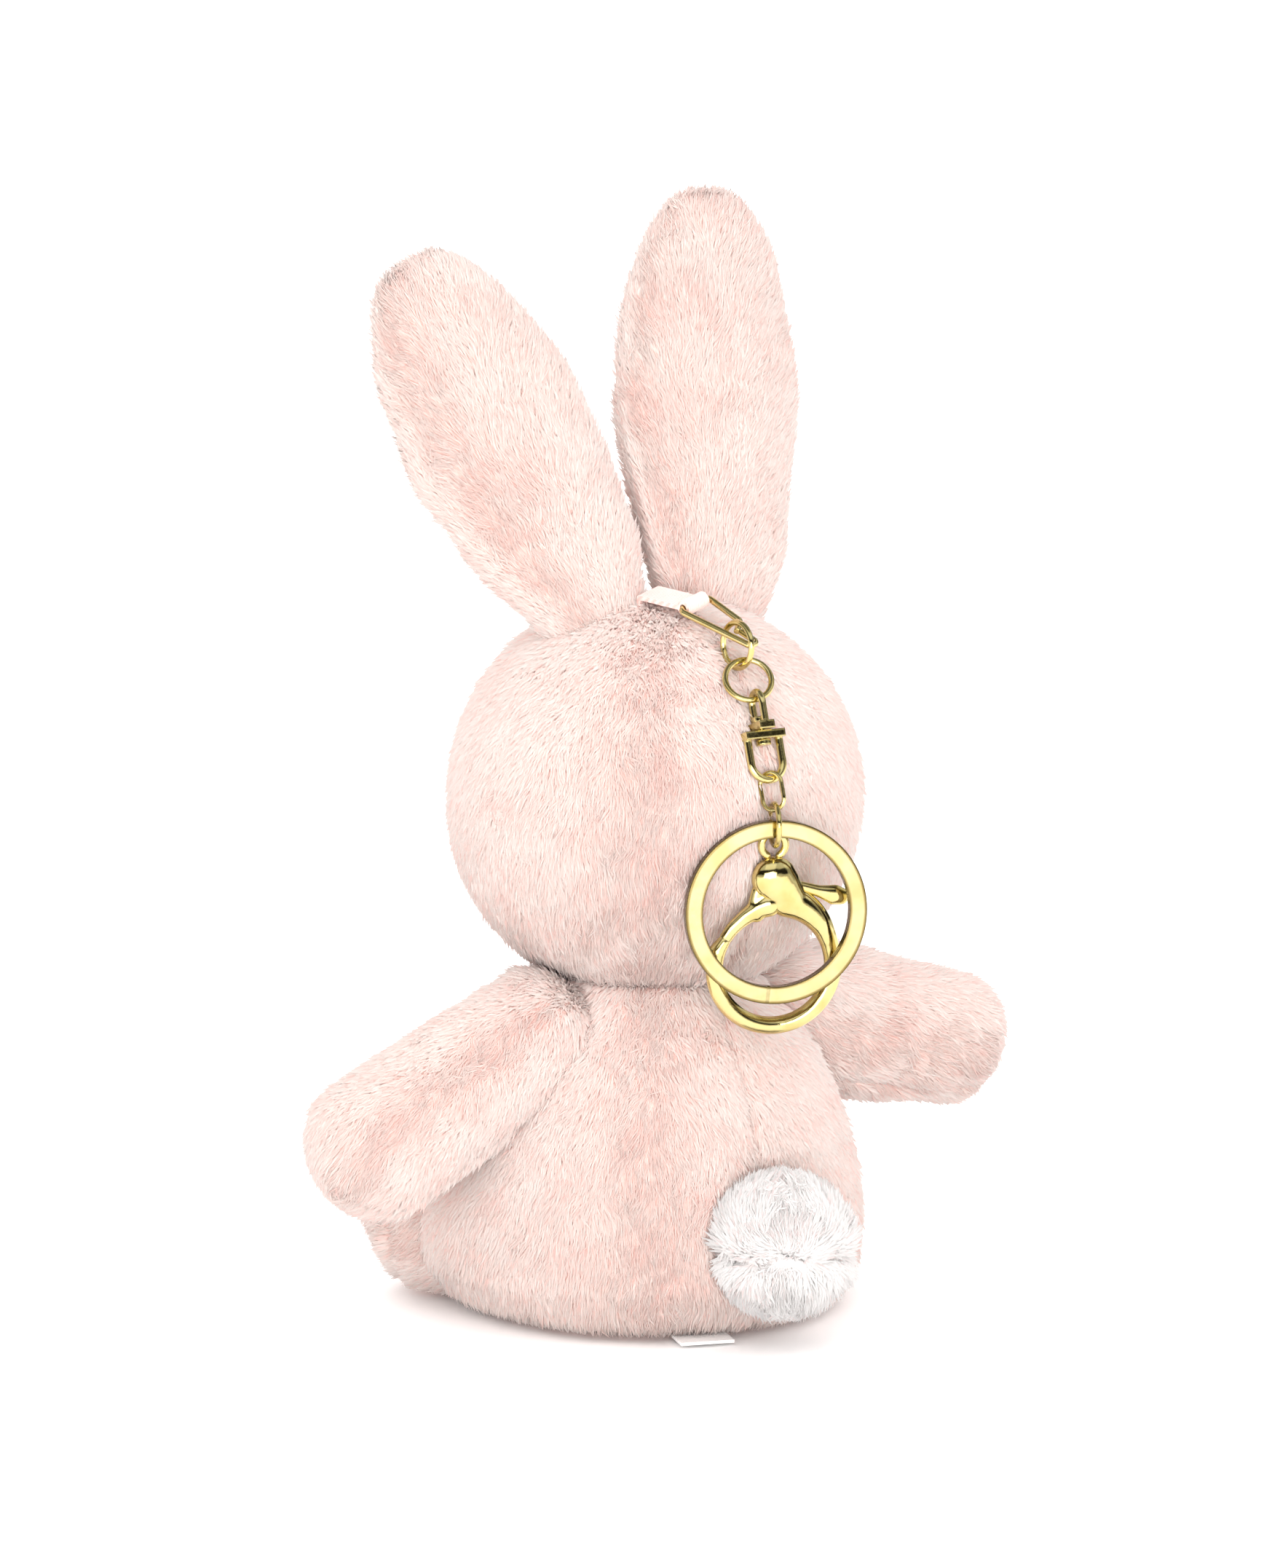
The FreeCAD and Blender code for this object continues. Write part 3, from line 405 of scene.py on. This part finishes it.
def sliver_object(name, corners, shade, tint, mat):
    """One mesh of many closed slivers: U holds each fibre's tint, and V runs from its root to its tip."""
    n = len(corners)
    tris = (FIBRE_FACES[None] + 4 * np.arange(n)[:, None, None]).reshape(-1, 3)
    mesh = bpy.data.meshes.new(name)
    mesh.vertices.add(4 * n)
    mesh.vertices.foreach_set("co", corners.astype(np.float32).ravel())
    mesh.loops.add(12 * n)
    mesh.loops.foreach_set("vertex_index", tris.astype(np.int32).ravel())
    mesh.polygons.add(4 * n)
    mesh.polygons.foreach_set("loop_start", np.arange(0, 12 * n, 3, dtype=np.int32))
    mesh.polygons.foreach_set("use_smooth", np.ones(4 * n, bool))
    mesh.update(calc_edges=True)
    layer = mesh.uv_layers.new(name="OFBake")
    across = np.tile(tint[:, None], (1, 4)) + FIBRE_U_SPREAD
    uv = np.stack([across, np.tile(0.02 + 0.96 * FIBRE_HEIGHTS, (n, 1))], 2).reshape(-1, 2)
    layer.data.foreach_set("uv", uv[tris.ravel()].astype(np.float32).ravel())
    mesh.normals_split_custom_set_from_vertices(shade.reshape(-1, 3).astype(np.float32))
    mesh.materials.append(mat)
    obj = bpy.data.objects.new(name, mesh)
    bpy.context.scene.collection.objects.link(obj)
    return obj


def pile(name, points, faces, comb, mat, slot, body, density, length, seed, lift=0.4, keep=None):
    """Short combed pile on a skin, in pieces from the lowest fibres up.

    comb gives the way that the fibres at some places lie, and keep says which places have pile.
    """
    rng = np.random.default_rng(seed)
    root, normal = scattered(points, faces, density, rng)
    if keep is not None:
        chosen = keep(root)
        root, normal = root[chosen], normal[chosen]
    way = combed(root, normal, comb, lift, seed, rng)
    corners, shade = slivers(root, normal, way, length, rng)
    patchy = 0.13 * swell(root, seed + 31, 0.011)
    tint = np.clip(0.5 + patchy + 0.3 * rng.normal(size=len(root)), 0.02, 0.98)
    order = np.argsort(root[:, 2], kind="stable")
    for start in range(0, len(root), FIBRES_PER_PIECE):
        some = order[start:start + FIBRES_PER_PIECE]
        number = start // FIBRES_PER_PIECE + 1
        obj = sliver_object(f"{name}_{number}", corners[some], shade[some], tint[some], mat)
        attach(obj, body)


def plush(name, points, faces, body, nodes, comb, seed, slot="pink_plush", fill=0.75, density=10.0,
          length=0.0029, keep=None, **more):
    """One stuffed part: its closed skin, riding, and the pile on it."""
    pink = slot == "pink_plush"
    skin = mesh_object(name, points, faces, PINK_SKIN if pink else WHITE_SKIN)
    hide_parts(*nodes)
    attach(skin, body)
    pile(name + "_pile", points, faces, comb, PINK_PILE if pink else WHITE_PILE, slot, body,
         density, length, seed, keep=keep, **more)


# ---------- head ----------

HEAD_LOW, HEAD_HIGH, HEAD_MID = box("head_left", "head_right")
HEAD_RADIUS = (HEAD_HIGH[2] - HEAD_LOW[2]) / 2 + 0.0004
FACE_SPOTS = [(box(name)[2], bare)
              for name, bare in (("eye_left", 0.0042), ("eye_right", 0.0042), ("nose", 0.0034))]


def off_face(p):
    """Leaves the pile off where the eyes and the nose sit."""
    clear = np.ones(len(p), bool)
    for spot, bare in FACE_SPOTS:
        clear &= np.linalg.norm((p - spot)[:, [0, 2]], axis=1) + 10 * (p[:, 1] > 0) > bare
    return clear


def head_comb(root, normal):
    """Down from the crown."""
    outward = unit((root - HEAD_MID) * (1, 1, 0))
    return np.tile(-UP, (len(root), 1)) + 0.25 * outward


def head():
    """Soft ball, a little wider than high at the cheeks, with a back seam and a dent under the chain."""
    shape, faces = ball(7)
    rear = smooth(shape[:, 1], -0.5, 0.5)
    points = shape * HEAD_RADIUS * (1.035, 1.0, 1.025)
    points[:, 1] *= 0.985 + 0.045 * rear
    points[:, 2] *= 1 - 0.012 * smooth(shape[:, 2], 0.2, 1.0)
    points = points * (1 + 0.006 * swell(shape, 3, 1.3))[:, None]
    back_seam = np.where(shape[:, 1] > -0.2, points[:, 0], NO_SEAM)
    points = groove(points, shape, back_seam, 0.0008, SEAM_WIDTH)
    dent = unit(box("ribbon_tab")[2] + np.array((0.004, 0.014, -0.016)) - HEAD_MID)
    away = np.linalg.norm(shape - dent, axis=1) * HEAD_RADIUS
    points = points - shape * (0.0011 * np.exp(-(away / 0.006) ** 2))[:, None]
    points = points + HEAD_MID
    plush("head_skin", points, faces, "head", ("head_left", "head_right", "head_filling"), head_comb, 100,
          keep=off_face)


head()

# ---------- body ----------

# Height and radius of the bell in mm, from the base's edge up to the neck inside the head.
BELL = ((0, 25), (1.2, 28.6), (4, 31.8), (9, 33.6), (16, 34.0), (23, 33.4), (31, 31.4), (38, 28.6),
        (44, 25.4), (49, 21.8), (53, 18.6), (56.5, 15.6), (57.5, 8.0))
BODY_PILE_FROM, BODY_PILE_TO = 0.0022, 0.0572


def body_comb(root, normal):
    """Down to the base."""
    return np.tile(-UP, (len(root), 1)) + 0.15 * unit(root * (1, 1, 0))


def off_base_and_neck(p):
    return (p[:, 2] > BODY_PILE_FROM) & (p[:, 2] < BODY_PILE_TO)


def body():
    """Bell, narrow at the neck and widest above its flat base, with a haunch behind each leg."""
    heights, radii = np.array(BELL).T * MM
    shape, faces = ball(7)
    angle = np.arctan2(shape[:, 1], shape[:, 0])
    level = np.arcsin(np.clip(shape[:, 2], -1, 1)) / math.pi + 0.5
    climb = np.concatenate([[0], np.cumsum(np.hypot(np.diff(heights), np.diff(radii)))])
    base, wall = radii[0], climb[-1]
    total = base + wall + radii[-1]
    along = level * total
    height = np.interp(along - base, climb, heights)
    radius = np.interp(along - base, climb, radii)
    radius = np.where(along < base, along, radius)
    radius = np.where(along > base + wall, np.maximum(total - along, 0), radius)
    outward = np.stack([np.cos(angle), np.sin(angle), np.zeros_like(angle)], 1)
    points = outward * radius[:, None]
    points[:, 2] = height
    lump = swell(points, 5, 0.03) * smooth(height, 0.002, 0.01)
    points = points + outward * (0.0005 * lump)[:, None]
    for sign in (1, -1):
        toward = outward @ np.array((sign * 0.82, -0.57, 0.0))
        haunch = np.exp(-((toward - 1) / 0.16) ** 2) * np.exp(-((height - 0.012) / 0.011) ** 2)
        points = points + outward * (0.0052 * haunch)[:, None]
    back_seam = np.where(points[:, 1] > 0, points[:, 0], NO_SEAM)
    points = groove(points, outward, back_seam, 0.0007, SEAM_WIDTH)
    plush("body_skin", points, faces, "torso",
          ("body_base", "body_belly", "body_back_left", "body_back_right", "body_filling"), body_comb, 200,
          keep=off_base_and_neck)


body()

# ---------- arms ----------

ARM_REACH = 0.0295


def arm(side, sign, slope, yaw, root_r, tip_r, bone):
    """Flattened mitt, rising by slope and turned by yaw degrees, with a seam along its lower rear side."""
    a, y = math.radians(slope), math.radians(yaw)
    axis = np.array((sign * math.cos(a) * math.cos(y), math.sin(y), math.sin(a)))
    root = JOINTS[f"arm_{side}_swing"]
    tip = root + axis * ARM_REACH
    flat = unit(np.cross(axis, np.cross(np.array((0, 1.0, 0)), axis)))
    points, faces = sausage(root - axis * 0.002, tip, root_r, tip_r, flat=flat, squeeze=0.94)
    rise = unit(np.cross(flat, axis)) * (1 if np.cross(flat, axis)[2] > 0 else -1)
    rel = points - root
    seam_side = unit(-0.80 * rise + 0.60 * flat)
    seam = np.where(rel @ seam_side > 0, rel @ unit(0.60 * rise + 0.80 * flat), NO_SEAM)
    n = normals(points, faces)
    shallow = 1 - smooth(rel @ axis, ARM_REACH, ARM_REACH + tip_r)
    points = groove(points, n * shallow[:, None], seam, 0.0013, SEAM_WIDTH)
    points = points + n * (0.00035 * swell(points, 11 + sign, 0.016))[:, None]

    def arm_comb(fibre_root, normal):
        return np.tile(axis, (len(fibre_root), 1)) - 0.45 * UP

    plush(f"arm_{side}_skin", points, faces, bone,
          tuple(f"arm_{side}_{w}" for w in ("front", "back", "filling")), arm_comb, 300 + sign)


arm("left", 1, -27, 0, 0.0104, 0.0114, "arm_l")
arm("right", -1, -12, 5, 0.0124, 0.0108, "arm_r")

# ---------- legs ----------

LEG_REACH, LEG_ROOT_R, LEG_TIP_R = 0.013, 0.0145, 0.0149
LEG_PILE_FROM = 0.0016


def off_underside(p):
    return p[:, 2] > LEG_PILE_FROM


def leg(side, sign, bone):
    """Stubby round leg pointing forwards and outwards, with the sole seam round its end."""
    outward = unit(np.cross(UP, AXES[f"leg_{side}_lift"]))
    root = JOINTS[f"leg_{side}_lift"] + (0, 0, 0.0006)
    tip = root + outward * LEG_REACH
    points, faces = sausage(root, tip, LEG_ROOT_R, LEG_TIP_R)
    n = normals(points, faces)
    sole_seam = (points - tip) @ outward - 0.0075
    points = groove(points, n, sole_seam, 0.0009, 0.0010)
    points = points + n * (0.0003 * swell(points, 21 + sign, 0.016))[:, None]

    def leg_comb(fibre_root, normal):
        return np.tile(outward - 0.6 * UP, (len(fibre_root), 1))

    plush(f"leg_{side}_skin", points, faces, bone,
          tuple(f"leg_{side}_{w}" for w in ("sole", "top", "filling")), leg_comb, 400 + sign,
          keep=off_underside)


leg("left", 1, "leg_l")
leg("right", -1, "leg_r")

# ---------- ears ----------

def ear(side, sign, fan, lean, height, half_wide, bone):
    """Long flat paddle, hollowed a little towards the front and pinched at its foot."""
    foot = JOINTS[f"ear_{side}_fold"]
    turn = np.array(Matrix.Rotation(math.radians(fan), 3, "Y") @ Matrix.Rotation(math.radians(lean), 3, "X"))
    shape, faces = ball(6)
    t = (shape[:, 2] + 1) / 2
    tall = -0.014 + height * t
    blunt = np.sqrt(np.maximum(1 - shape[:, 2] ** 2, 1e-9)) ** -0.3
    taper = 1 - 0.36 * (1 - smooth(t, -0.05, 0.62)) - 0.08 * smooth(t, 0.75, 1.0)
    wide = half_wide * shape[:, 0] * blunt * taper
    thick = 0.0053 * shape[:, 1] * blunt * (1.15 - 0.3 * t)
    points = np.stack([wide, thick, tall], 1)
    points[:, 1] -= 0.0014 * (wide / 0.0155) ** 2 * smooth(t, 0.0, 0.4)
    n = normals(points, faces)
    points = groove(points, n, shape[:, 1] * 0.004, 0.0008, SEAM_WIDTH)
    points = points + n * (0.00035 * swell(points, 31 + sign, 0.018))[:, None]
    points = points @ turn.T + foot
    tip_way = turn @ UP

    def ear_comb(fibre_root, normal):
        rel = fibre_root - foot
        off_middle = rel - (rel @ tip_way)[:, None] * tip_way
        return np.tile(tip_way, (len(fibre_root), 1)) * 0.6 + 35 * off_middle * (1, 0, 1) * 0.6

    plush(f"ear_{side}_skin", points, faces, bone,
          tuple(f"ear_{side}_{w}" for w in ("front", "back", "filling")), ear_comb, 500 + sign, fill=0.45)


ear("left", 1, 27, 10, 0.0774, 0.0163, "ear_l")
ear("right", -1, -4, 8, 0.0812, 0.0168, "ear_r")

# ---------- tail ----------

TAIL_BOX = box("tail_cover")
TAIL_MID = np.array((TAIL_BOX[2][0], TAIL_BOX[1][1] - 0.0105, TAIL_BOX[2][2]))
TAIL_PILE_FROM = 0.031


def tail_comb(root, normal):
    """Away from the middle seam, and tousled."""
    above = root[:, 2:] - TAIL_MID[2] + 0.001
    tousle = np.stack([swell(root, 700 + k, 0.006) for k in range(3)], 1)
    return np.tile(UP, (len(root), 1)) * np.sign(above) + 0.5 * tousle


def clear_of_back(p):
    return p[:, 1] > TAIL_PILE_FROM


def tail():
    """Small white ball pulled in at its middle seam."""
    shape, faces = ball(6)
    points = shape * 0.0103
    points = points * (1 + 0.02 * swell(shape, 8, 1.1))[:, None]
    seam = points[:, 2] + 0.001 + 0.0006 * np.sin(points[:, 0] * 700)
    points = groove(points, shape, seam, 0.0016, 0.0013)
    points = points + TAIL_MID
    plush("tail_skin", points, faces, "torso", ("tail_cover", "tail_filling"), tail_comb, 600,
          slot="white_plush", density=11.0, length=0.0032, lift=0.6, keep=clear_of_back)


tail()

# ---------- trims and hardware ----------

TRIMS = (
    (GOLD, ("wire_snap", "jump_ring_upper", "jump_ring_lower", "swivel_upper_bail", "swivel_lower_bail",
            "swivel_rivet", "oval_link", "joining_ring", "clasp_body", "clasp_gate", "clasp_pin")),
    (GOLD_SATIN, ("key_ring",)),
    (STEEL, ("clasp_spring",)),
    (RIBBON, ("ribbon_tab",)),
    (LABEL, ("care_label",)),
    (THREAD, ("nose",)),
    (EYE, ("eye_left", "eye_right")),
)
for mat, names in TRIMS:
    for name in names:
        NODES[name].data.materials.clear()
        NODES[name].data.materials.append(mat)

# ---------- clasp ----------
# A polished teardrop cap whose arm runs into a round hook, and the gate with its thumb lever. Both are
# drawn in mm in the plane that the gate turns in, from its pin, with the eye straight up.

END_STEPS = 5  # rings in each rounded end of a bar
SKIN_VOXEL = 0.22 * MM


def tube(path, wide, deep, place, normal, right, up, rounds=28, fine=8):
    """Closed oval bar along a flat path in mm, curved through its points.

    wide is its half width in the path's plane and deep its half depth, at each point.
    """
    path, wide, deep = (np.asarray(x, float) for x in (path, wide, deep))
    known = np.arange(len(path))
    at = np.linspace(0, len(path) - 1, (len(path) - 1) * fine + 1)
    pad = np.vstack([2 * path[0] - path[1], path, 2 * path[-1] - path[-2]])
    low = np.minimum(at.astype(int), len(path) - 2)
    t = (at - low)[:, None]
    p0, p1, p2, p3 = (pad[low + k] for k in range(4))
    line = 0.5 * (2 * p1 + (p2 - p0) * t + (2 * p0 - 5 * p1 + 4 * p2 - p3) * t ** 2
                  + (3 * p1 - p0 - 3 * p2 + p3) * t ** 3)
    w, d = np.interp(at, known, wide), np.interp(at, known, deep)
    way = unit(np.gradient(line, axis=0))
    cap = np.linspace(0.1, 1, END_STEPS + 1) * math.pi / 2
    first = line[0] - way[0] * w[0] * np.cos(cap)[:, None]
    last = line[-1] + way[-1] * w[-1] * np.cos(cap[::-1])[:, None]
    line = np.vstack([first[:-1], line, last[1:]])
    way = np.vstack([np.tile(way[0], (END_STEPS, 1)), way, np.tile(way[-1], (END_STEPS, 1))])
    shrink = np.concatenate([np.sin(cap)[:-1], np.ones(len(w)), np.sin(cap[::-1])[1:]])
    w = np.concatenate([[w[0]] * END_STEPS, w, [w[-1]] * END_STEPS]) * shrink
    d = np.concatenate([[d[0]] * END_STEPS, d, [d[-1]] * END_STEPS]) * shrink
    turn = np.linspace(0, 2 * math.pi, rounds, endpoint=False)
    side = np.stack([-way[:, 1], way[:, 0]], 1)
    flat = line[:, None] + side[:, None] * (w[:, None] * np.cos(turn))[..., None]
    depth = d[:, None] * np.sin(turn)
    points = place + (flat[..., :1] * right + flat[..., 1:] * up + depth[..., None] * normal) * MM
    points = points.reshape(-1, 3)
    count = len(line)
    i, j = np.meshgrid(np.arange(count - 1), np.arange(rounds), indexing="ij")
    a, b = (i * rounds + j).ravel(), (i * rounds + (j + 1) % rounds).ravel()
    faces = [list(q) for q in np.stack([a, a + rounds, b + rounds, b], 1)]
    faces += [list(range(rounds)), list(range((count - 1) * rounds, count * rounds))[::-1]]
    return points, faces


def fused(name, shells, mat):
    """Several closed shells as one closed skin, relaxed where they meet."""
    mesh = bpy.data.meshes.new(name)
    points, faces, start = [], [], 0
    for p, f in shells:
        points += p.tolist()
        faces += [[v + start for v in face] for face in f]
        start += len(p)
    mesh.from_pydata(points, [], faces)
    bm = bmesh.new()
    bm.from_mesh(mesh)
    bmesh.ops.recalc_face_normals(bm, faces=bm.faces)
    bm.to_mesh(mesh)
    bm.free()
    obj = bpy.data.objects.new(name, mesh)
    bpy.context.scene.collection.objects.link(obj)
    remesh = obj.modifiers.new("skin", "REMESH")
    remesh.mode = "VOXEL"
    remesh.voxel_size = SKIN_VOXEL
    relax = obj.modifiers.new("relax", "SMOOTH")
    relax.iterations = 6
    relax.factor = 0.5
    graph = bpy.context.evaluated_depsgraph_get()
    made = bpy.data.meshes.new_from_object(obj.evaluated_get(graph))
    obj.modifiers.clear()
    obj.data = made
    made.materials.clear()
    made.materials.append(mat)
    made.polygons.foreach_set("use_smooth", [True] * len(made.polygons))
    return obj


GATE_PIN = JOINTS["gate_open"]
FACING = unit(AXES["gate_open"])
ACROSS = unit(np.cross(-FACING, UP))
CLASP_PLANE = (GATE_PIN, FACING, ACROSS, np.cross(ACROSS, -FACING))
HOOK_MID, HOOK_BORE = np.array((0.5, -14.8)), 8.4
EYE_MID, EYE_RADIUS, EYE_WIRE = np.array((0.0, 5.6)), 2.0, 0.66


def circle(degrees):
    """Points of a circle of radius 1."""
    a = np.radians(np.asarray(degrees, float))
    return np.stack([np.cos(a), np.sin(a)], 1)


def on_hook(degrees, half_wide):
    """Points round the hook, placed so that its inner edge stays a true circle."""
    return HOOK_MID + (HOOK_BORE + half_wide)[:, None] * circle(degrees)


def clasp_hook():
    """Hook that thickens into the teardrop cap, and the cap's eye."""
    turns = np.arange(152, 441, 12)
    bar = np.interp(turns, (152, 160, 385, 415, 440), (1.1, 1.45, 1.5, 2.3, 2.9))
    hook = tube(on_hook(turns, bar), bar, np.minimum(bar * 0.95, 1.9), *CLASP_PLANE)
    cap = tube([(5.3, -5.6), (3.5, -3.7), (1.7, -1.7), (0.3, -0.1)], (1.9, 2.6, 3.4, 3.8),
               (1.8, 2.0, 2.2, 2.3), *CLASP_PLANE)
    clasp = fused("clasp_hook", [hook, cap], GOLD)
    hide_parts("clasp_body")
    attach(clasp, "clasp")
    loop = EYE_MID + EYE_RADIUS * circle(np.arange(-60, 241, 15))
    wire = [EYE_WIRE] * len(loop)
    eye = fused("clasp_eye", [tube(loop, wire, wire, *CLASP_PLANE)], GOLD)
    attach(eye, "clasp")


def clasp_gate():
    """Gate that closes the hook, with its shank to the pin and its thumb lever."""
    turns = np.arange(96, 149, 6.5)
    bar = np.interp(turns, (96, 110, 125, 148), (2.1, 1.6, 1.25, 1.1))
    arc = tube(on_hook(turns, bar), bar, bar * 0.8, *CLASP_PLANE)
    shank = tube([(-0.6, -0.4), (-1.6, -2.8), (-2.6, -5.6)], (2.2, 2.1, 1.7), (0.9, 0.95, 1.1), *CLASP_PLANE)
    lever = tube([(1.0, -0.6), (4.4, -1.4), (7.6, -2.3), (10.2, -3.0), (11.4, -3.3)],
                 (1.2, 0.9, 1.0, 1.75, 1.5), (0.7, 0.7, 0.75, 0.9, 0.8), *CLASP_PLANE)
    gate = fused("clasp_gate_bar", [arc, shank, lever], GOLD)
    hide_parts("clasp_gate")
    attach(gate, "gate")


clasp_hook()
clasp_gate()

# ---------- floor, light, camera ----------

def floor():
    """White paper, just under the toy."""
    bpy.ops.mesh.primitive_plane_add(size=8, location=(0, 0, -0.0004))
    paper = bpy.context.object
    paper.name = "floor"
    mat, tree, shader = material("floor_paper")
    grain = add(tree, "ShaderNodeTexNoise", {"Scale": 40, "Detail": 4})
    colour = ramp(tree, grain.outputs["Fac"], [(0.3, (0.985, 0.98, 0.98)), (0.7, (0.995, 0.99, 0.99))])
    tree.links.new(colour, shader.inputs["Base Color"])
    shader.inputs["Roughness"].default_value = 0.9
    shader.inputs["Specular IOR Level"].default_value = 0
    paper.data.materials.append(mat)


def studio():
    """White surround for light; in gloss, soft boxes with dark gaps between them."""
    world = bpy.data.worlds.new("studio")
    bpy.context.scene.world = world
    world.use_nodes = True
    tree = world.node_tree
    plain = tree.nodes["Background"]
    plain.inputs["Color"].default_value = (1.0, 0.965, 0.955, 1)
    plain.inputs["Strength"].default_value = 1.66
    way = add(tree, "ShaderNodeTexCoord").outputs["Generated"]
    split = add(tree, "ShaderNodeSeparateXYZ", {"Vector": way})
    height = add(tree, "ShaderNodeMapRange", {"Value": split.outputs["Z"], "From Min": -1.0,
                                              "From Max": 1.0})
    bands = ramp(tree, height.outputs["Result"],
                 [(0.0, (0.9, 0.86, 0.84)), (0.53, (0.98, 0.97, 0.96)), (0.57, (0.02, 0.018, 0.015)),
                  (0.70, (0.03, 0.026, 0.02)), (0.74, (1.0, 0.99, 0.98)), (0.88, (1.0, 1.0, 1.0)),
                  (0.93, (0.04, 0.036, 0.03)), (0.97, (0.3, 0.3, 0.3))])
    gloss = add(tree, "ShaderNodeBackground", {"Color": bands, "Strength": 0.7})
    path = add(tree, "ShaderNodeLightPath")
    mix = add(tree, "ShaderNodeMixShader")
    tree.links.new(path.outputs["Is Glossy Ray"], mix.inputs[0])
    tree.links.new(plain.outputs[0], mix.inputs[1])
    tree.links.new(gloss.outputs[0], mix.inputs[2])
    tree.links.new(mix.outputs[0], tree.nodes["World Output"].inputs["Surface"])


def lamp(name, place, aim, size, power):
    data = bpy.data.lights.new(name, "AREA")
    data.shape = "RECTANGLE"
    data.size, data.size_y = size
    data.energy = power
    obj = bpy.data.objects.new(name, data)
    bpy.context.scene.collection.objects.link(obj)
    obj.location = place
    obj.rotation_euler = (Vector(aim) - Vector(place)).to_track_quat("-Z", "Y").to_euler()


CHEST, KNEES, FEET = (0, 0, 0.08), (0, 0, 0.05), (0, 0, 0.04)
VIEW_AZIMUTH, VIEW_ELEVATION, VIEW_DISTANCE = math.radians(148), math.radians(8), 0.85
VIEW_TARGET = Vector((0.0030, -0.0019, 0.088))


def camera():
    """From behind the toy and a little to its left, with a long lens."""
    data = bpy.data.cameras.new("camera")
    data.sensor_width = 36
    data.lens = 116.5
    data.clip_start = 0.01
    obj = bpy.data.objects.new("camera", data)
    bpy.context.scene.collection.objects.link(obj)
    bpy.context.scene.camera = obj
    back = Vector((math.sin(VIEW_AZIMUTH) * math.cos(VIEW_ELEVATION),
                   -math.cos(VIEW_AZIMUTH) * math.cos(VIEW_ELEVATION), math.sin(VIEW_ELEVATION)))
    obj.location = VIEW_TARGET + back * VIEW_DISTANCE
    obj.rotation_euler = (-back).to_track_quat("-Z", "Y").to_euler()


floor()
studio()
bpy.context.scene.view_settings.view_transform = "Standard"
lamp("key_light", (0.40, 0.60, 0.70), CHEST, (0.7, 0.6), 0.6)
lamp("fill_light", (-0.60, 0.50, 0.40), CHEST, (0.6, 0.6), 0.4)
lamp("front_light", (0.0, -0.8, 0.5), CHEST, (0.8, 0.5), 1.0)
lamp("low_light", (0.50, 0.80, 0.10), FEET, (0.7, 0.4), 4.4)
lamp("front_low_light", (-0.30, -0.90, 0.10), KNEES, (0.7, 0.4), 1.4)
camera()

bpy.context.view_layer.update()
